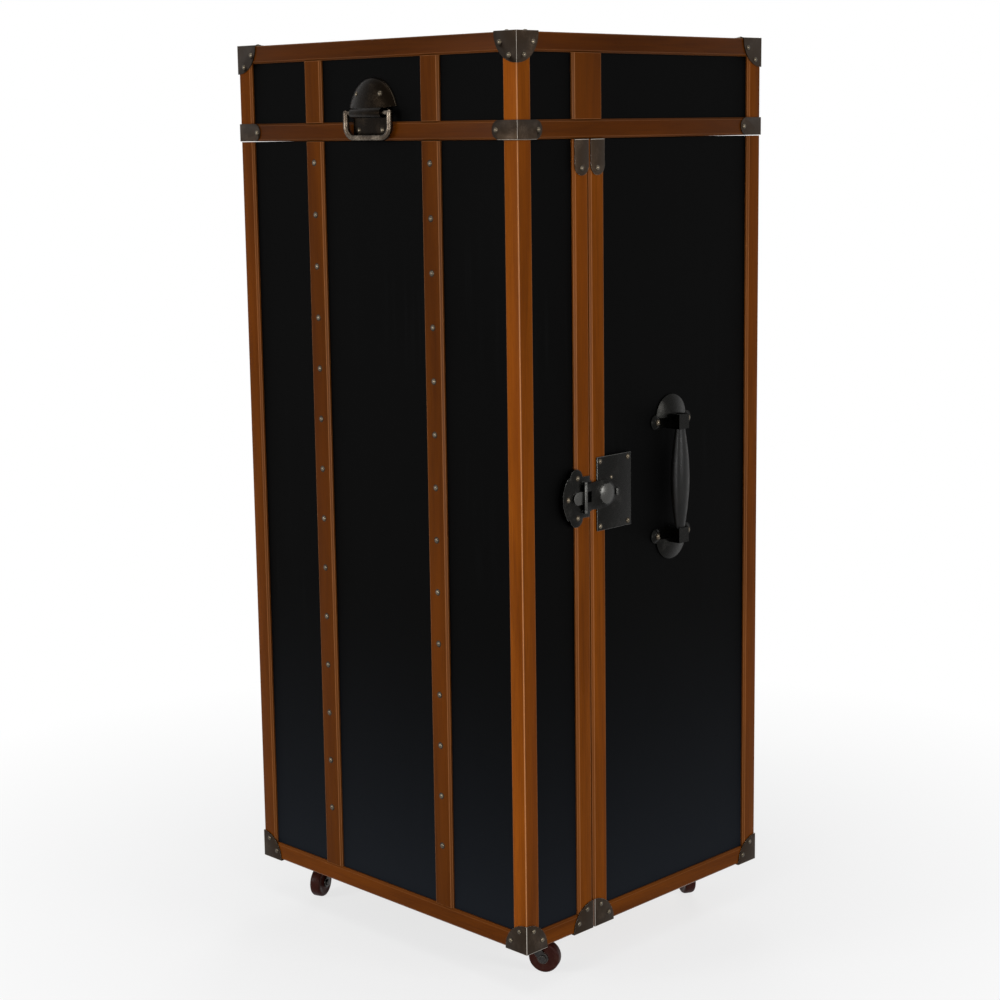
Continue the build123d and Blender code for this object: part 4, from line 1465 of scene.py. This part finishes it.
@dataclass
class Latch:
    """The catch plate, the hasp and the lock plate."""

    # Painted highlight, partly real rubbing, on the proudest faces of each plate.
    RUBBED_AND_HIGHLIT = {"catch_plate": 0.0045, "hasp": 0.0035, "lock_plate": 0.0}
    RUBBED_AND_HIGHLIT_SHARE = 0.4
    EASE = 0.0004
    SCREW = (0.0026, 0.0012)
    SCREW_ACROSS = 0.42
    SCREW_UP = 0.70

    finishes: Finishes

    def build(self) -> None:
        """Rounds the plates and adds the small screw of the lock."""
        for node, reach in self.RUBBED_AND_HIGHLIT.items():
            piece = rounded_copy(node, self.finishes.latch, self.EASE)
            # Painted highlight on the proudest faces.
            self.wear_and_highlight(piece, reach)
        low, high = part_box("lock_plate")
        across = low.y + self.SCREW_ACROSS * (high.y - low.y)
        up = low.z + self.SCREW_UP * (high.z - low.z)
        screw = rivet_shape(Vector((high.x, across, up)), X, *self.SCREW)
        add_rivets("lock_screw", [screw], "case", self.finishes)

    def wear_and_highlight(self, piece: bpy.types.Object, reach: float) -> None:
        """Marks the proudest faces of a piece for a painted highlight, partly real rubbing.

        Args:
            piece: The piece.
            reach: How far in from its outermost point the painted highlight reaches.
        """
        shape = bmesh.new()
        shape.from_mesh(piece.data)
        layer = edge_layer(shape)
        limit = max(vert.co.x for vert in shape.verts) - reach
        for face in shape.faces:
            if face.calc_center_median().x > limit:
                face[layer] = max(face[layer], self.RUBBED_AND_HIGHLIT_SHARE)
        shape.to_mesh(piece.data)
        shape.free()


@dataclass
class Handles:
    """The carrying handles on the two sides."""

    ROWS = 72
    STEPS = 40
    HALF_DEPTH = 0.012
    END_WIDTH = 0.0095
    END_DEPTH = 0.006
    SWELL_REACH = 0.835
    SEAM_PINCH = 0.05
    SEAM_SHARPNESS = 24
    EAR = (0.3223, 0.037, 0.0925)
    RIVET = (0.0045, 0.0026)

    finishes: Finishes

    def grip(self, side: int) -> Shape:
        """A leather grip that swells in the middle and is closed by a seam behind.

        Args:
            side: -1 on the left, 1 on the right.

        Returns:
            The shape.
        """
        low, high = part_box("handle_grips")
        middle_y, middle_z = (low.y + high.y) / 2, (low.z + high.z) / 2
        half_y, half_z = (high.y - low.y) / 2, (high.z - low.z) / 2
        centre_x = side * (high.x - self.HALF_DEPTH)
        shape = bmesh.new()
        rings = []
        for row in range(self.ROWS + 1):
            share = 2 * row / self.ROWS - 1
            swell = math.cos(min(1.0, abs(share) / self.SWELL_REACH) * math.pi / 2)
            across = self.END_WIDTH + (half_y - self.END_WIDTH) * swell
            through = self.END_DEPTH + (self.HALF_DEPTH - self.END_DEPTH) * swell
            ring = []
            for step in range(self.STEPS):
                turn = 2 * math.pi * step / self.STEPS
                pinch = 1.0 - self.SEAM_PINCH * max(0.0, -math.cos(turn)) ** self.SEAM_SHARPNESS
                x = centre_x + side * through * math.cos(turn) * pinch
                y = middle_y + across * math.sin(turn)
                ring.append(shape.verts.new((x, y, middle_z + share * half_z)))
            rings.append(ring)
        for lower, upper in zip(rings, rings[1:]):
            for step in range(self.STEPS):
                after = (step + 1) % self.STEPS
                shape.faces.new((lower[step], lower[after], upper[after], upper[step]))
        shape.faces.new(rings[0])
        shape.faces.new(rings[-1])
        bmesh.ops.recalc_face_normals(shape, faces=shape.faces)
        return shape

    def build(self) -> None:
        """Makes the grips and the rivets of the ears, and paints the mounts."""
        sides = (-1, 1)
        grips = make_object(
            "leather_grips", join_shapes([self.grip(side) for side in sides]), self.finishes.grip
        )
        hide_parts("handle_grips")
        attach(grips, "case")
        repaint("handle_mounts", self.finishes.latch)
        low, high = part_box("handle_mounts")
        grip_low, grip_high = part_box("handle_grips")
        middle_y, middle_z = (low.y + high.y) / 2, (grip_low.z + grip_high.z) / 2
        out, aside, up = self.EAR
        seats = [
            (side, Vector((side * out, middle_y + hand * aside, middle_z + flip * up)))
            for side in sides
            for flip in sides
            for hand in sides
        ]
        shapes = [rivet_shape(seat, side * X, *self.RIVET) for side, seat in seats]
        add_rivets("handle_rivets", shapes, "case", self.finishes)


@dataclass
class DropHandle:
    """The hooded plate on the lid and the ring that hangs in it."""

    EASE = 0.0005
    HOOD_HEIGHT = 0.0485
    RIM_DEPTH = 0.0028
    RIM_HIGHLIGHT_AND_RUB_SHARE = 0.6
    RIVET = (0.0036, 0.0020)
    RIVET_ASIDE = 0.0275
    RIVET_DOWN = 0.0245
    CLEAR = 0.1

    sizes: Sizes
    finishes: Finishes

    def build(self) -> None:
        """Dresses the plate, whose rim gets a painted highlight, partly real rubbing, adds the rivets of the
        hood, and paints the ring.
        """
        plate = rounded_copy("bail_plate", self.finishes.bail, self.EASE)
        shape = bmesh.new()
        shape.from_mesh(plate.data)
        low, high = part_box("bail_plate")
        layer = edge_layer(shape)
        # Painted highlight, partly real rubbing, on the rim of the hood.
        for face in shape.faces:
            middle = face.calc_center_median()
            on_hood = middle.z > high.z - self.HOOD_HEIGHT
            if on_hood and middle.y > self.sizes.panel_front - self.RIM_DEPTH:
                face[layer] = max(face[layer], self.RIM_HIGHLIGHT_AND_RUB_SHARE)
        tree = BVHTree.FromBMesh(shape)
        shape.to_mesh(plate.data)
        shape.free()
        centre = (low.x + high.x) / 2
        heads = []
        for side in (-1, 1):
            start = Vector((centre + side * self.RIVET_ASIDE, low.y - self.CLEAR, high.z - self.RIVET_DOWN))
            point, normal, _, _ = tree.ray_cast(start, Y)
            heads.append(rivet_shape(point, normal, *self.RIVET))
        add_rivets("hood_rivets", heads, "lid", self.finishes)
        repaint("bail_ring", self.finishes.ring)
        ring = frame["nodes"]["bail_ring"].data
        ring.shade_smooth()
        ring.set_sharp_from_angle(angle=math.radians(SHARP))


@dataclass
class Casters:
    """The four casters."""

    HALF_WIDTH = 0.0095
    BORE = 0.00412
    DISH = ((0.0080, 0.0), (0.0092, 0.0008), (0.0150, 0.0012), (0.0178, 0.0008), (0.0194, 0.0002))
    TREAD = ((0.0034, 0.0001), (0.0014, 0.0009), (0.0003, 0.0028), (0.0, 0.0052))
    FACETS = 64
    SHARP = 40.0
    FORK_EASE = 0.0004

    finishes: Finishes

    def wheel(self, name: str) -> None:
        """Makes one moulded wheel with dished faces.

        Args:
            name: The name of the caster.
        """
        low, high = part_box(f"caster_{name}_wheel")
        middle = (low + high) / 2
        spin = next(joint for joint in frame["joints"] if joint["name"] == f"{name}_spin")
        radius, half = (high.z - low.z) / 2, self.HALF_WIDTH
        right = [(self.BORE, half)]
        right += [(place, half - sunk) for place, sunk in self.DISH]
        right += [(radius - inset, half - sunk) for inset, sunk in self.TREAD]
        profile = right + [(r, -h) for r, h in reversed(right)]
        shape = lathe(profile, facing(middle, Vector(spin["axis"])), self.FACETS)
        wheel = make_object(f"wheel_{name}", shape, self.finishes.wheel, self.SHARP)
        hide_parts(f"caster_{name}_wheel")
        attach(wheel, f"{name}_wheel")

    def build(self) -> None:
        """Makes the wheels and rounds the forks."""
        for row in ("front", "rear"):
            for hand in ("right", "left"):
                self.wheel(f"{row}_{hand}")
                fork = rounded_copy(f"caster_{row}_{hand}_fork", self.finishes.iron, self.FORK_EASE)


@dataclass(frozen=True)
class View:
    """The camera of the photograph: where it looks from, how it leans and how it is framed."""

    azimuth: float = 44.92
    elevation: float = 9.45
    roll: float = -0.77
    distance: float = 3.41332
    aside: float = -0.00499
    height: float = 0.77507
    forward: float = 0.00325
    lens: float = 72.264
    shift: float = -0.04
    sensor: float = 36.0
    nearest: float = 0.05
    farthest: float = 60.0

    def build(self) -> None:
        """Makes the camera."""
        turn, tilt, lean = (math.radians(a) for a in (self.azimuth, self.elevation, self.roll))
        back = Vector((math.sin(turn) * math.cos(tilt), -math.cos(turn) * math.cos(tilt), math.sin(tilt)))
        level = Vector((math.cos(turn), math.sin(turn), 0.0))
        rise = back.cross(level)
        right = level * math.cos(lean) + rise * math.sin(lean)
        up = rise * math.cos(lean) - level * math.sin(lean)
        place = right * self.aside + Vector((0.0, self.forward, self.height)) + back * self.distance
        camera = bpy.data.cameras.new("camera")
        camera.lens = self.lens
        camera.sensor_fit = "HORIZONTAL"
        camera.sensor_width = self.sensor
        camera.shift_y = self.shift
        camera.clip_start = self.nearest
        camera.clip_end = self.farthest
        camera.dof.use_dof = False
        holder = bpy.data.objects.new("camera", camera)
        matrix = Matrix((right, up, back)).transposed().to_4x4()
        matrix.translation = place
        holder.matrix_world = matrix
        bpy.context.scene.collection.objects.link(holder)
        bpy.context.scene.camera = holder


@dataclass(frozen=True)
class Lamp:
    """A soft area lamp."""

    name: str
    place: Triple
    target: Triple
    size: tuple[float, float]
    power: float

    def build(self) -> None:
        """Makes the lamp."""
        light = bpy.data.lights.new(self.name, "AREA")
        light.shape = "RECTANGLE"
        light.size, light.size_y = self.size
        light.energy = self.power
        lamp = bpy.data.objects.new(self.name, light)
        way = Vector(self.target) - Vector(self.place)
        lamp.location = self.place
        lamp.rotation_euler = way.to_track_quat("-Z", "Y").to_euler()
        bpy.context.scene.collection.objects.link(lamp)


class Studio:
    """The pale floor, the white surroundings and the lamps."""

    LAMPS = (
        Lamp("front softbox", (-1.2, -3.4, 1.3), (0.0, -0.2, 0.7), (0.9, 1.3), 40.0),
        Lamp("right softbox", (3.6, 0.7, 1.3), (0.1, 0.0, 0.7), (0.9, 1.3), 40.0),
        Lamp("corner strip", (2.65, -2.65, 0.75), (0.2, -0.2, 0.65), (0.45, 1.5), 44.0),
        Lamp("edge strip", (0.75, -3.7, 1.0), (0.3, 0.0, 0.8), (0.22, 1.6), 9.0),
        Lamp("top softbox", (0.4, -0.6, 3.8), (0.0, 0.0, 0.8), (1.8, 1.8), 22.0),
        Lamp("rear softbox", (-2.6, 3.2, 1.6), (0.0, 0.1, 0.7), (1.4, 1.6), 62.0),
    )
    FLOOR_REACH = 20.0
    FLOOR_PARTS = 4
    FLOOR_COLOUR = (0.9, 0.9, 0.9, 1.0)
    FLOOR_ROUGH = 0.9
    SHADOW_RANGE = (0.45, 1.5, 0.72, 1.0)
    SEEN_COLOUR = (1.0, 1.0, 1.0, 1.0)
    LIT_COLOUR = (0.94, 0.97, 1.0, 1.0)
    LIT_STRENGTH = 0.22

    @staticmethod
    def is_seen(tree: bpy.types.NodeTree) -> Socket:
        """Says whether a ray is one that sees the surroundings, straight or in a mirror or a glass.

        Args:
            tree: The node tree that gets the nodes.

        Returns:
            The value, 0 or 1.
        """
        rays = tree.nodes.new("ShaderNodeLightPath")
        total = rays.outputs["Is Camera Ray"]
        for name in ("Is Glossy Ray", "Is Transmission Ray"):
            node = tree.nodes.new("ShaderNodeMath")
            node.operation = "MAXIMUM"
            tree.links.new(total, node.inputs[0])
            tree.links.new(rays.outputs[name], node.inputs[1])
            total = node.outputs["Value"]
        return total

    def floor(self) -> None:
        """Makes the floor, which is white far away and keeps the shadow near the trunk."""
        shape = bmesh.new()
        parts = self.FLOOR_PARTS
        bmesh.ops.create_grid(shape, x_segments=parts, y_segments=parts, size=self.FLOOR_REACH)
        graph = Graph("pale floor")
        graph.feed(Roughness=self.FLOOR_ROUGH, Specular_IOR_Level=0.0)
        graph.shader.inputs["Base Color"].default_value = self.FLOOR_COLOUR
        glow = graph.add("ShaderNodeEmission")
        spot = graph.add("ShaderNodeTexCoord")
        length = graph.add("ShaderNodeVectorMath")
        length.operation = "LENGTH"
        graph.link(spot.outputs["Object"], length.inputs[0])
        far = graph.spread(length.outputs["Value"], *self.SHADOW_RANGE)
        mix = graph.add("ShaderNodeMixShader")
        graph.link(graph.calculate("MULTIPLY", self.is_seen(graph.tree), far), mix.inputs["Fac"])
        graph.link(graph.shader.outputs["BSDF"], mix.inputs[1])
        graph.link(glow.outputs["Emission"], mix.inputs[2])
        graph.link(mix.outputs["Shader"], graph.output.inputs["Surface"])
        floor = make_object("floor", shape, graph.material)

    def world(self) -> None:
        """Makes the surroundings, which look white and light the trunk only a little."""
        world = bpy.data.worlds.new("surroundings")
        world.use_nodes = True
        tree = world.node_tree
        tree.nodes.clear()
        output = tree.nodes.new("ShaderNodeOutputWorld")
        seen, lit = tree.nodes.new("ShaderNodeBackground"), tree.nodes.new("ShaderNodeBackground")
        seen.inputs["Strength"].default_value = 1.0
        seen.inputs["Color"].default_value = self.SEEN_COLOUR
        lit.inputs["Strength"].default_value = self.LIT_STRENGTH
        lit.inputs["Color"].default_value = self.LIT_COLOUR
        mix = tree.nodes.new("ShaderNodeMixShader")
        tree.links.new(self.is_seen(tree), mix.inputs["Fac"])
        tree.links.new(lit.outputs["Background"], mix.inputs[1])
        tree.links.new(seen.outputs["Background"], mix.inputs[2])
        tree.links.new(mix.outputs["Shader"], output.inputs["Surface"])
        bpy.context.scene.world = world

    def build(self) -> None:
        """Makes the floor, the surroundings and the lamps."""
        bpy.context.scene.view_settings.view_transform = "Standard"
        self.floor()
        self.world()
        for lamp in self.LAMPS:
            lamp.build()


def main() -> None:
    """Dresses the trunk and sets the scene."""
    logging.basicConfig(level=logging.INFO, format="%(message)s")
    View().build()
    Studio().build()
    finishes = Finishes()
    sizes = Sizes.read()
    bands = Bands(sizes, finishes)
    steps: list[Callable[[], None]] = [
        bands.build_door,
        bands.build_case,
        bands.build_lid,
        Boards(finishes).build,
        Metalwork(finishes).build,
        Latch(finishes).build,
        Handles(finishes).build,
        DropHandle(sizes, finishes).build,
        Casters(finishes).build,
    ]
    for step in steps:
        step()
        LOG.info("made %s", step.__qualname__)


if __name__ == "__main__":
    main()
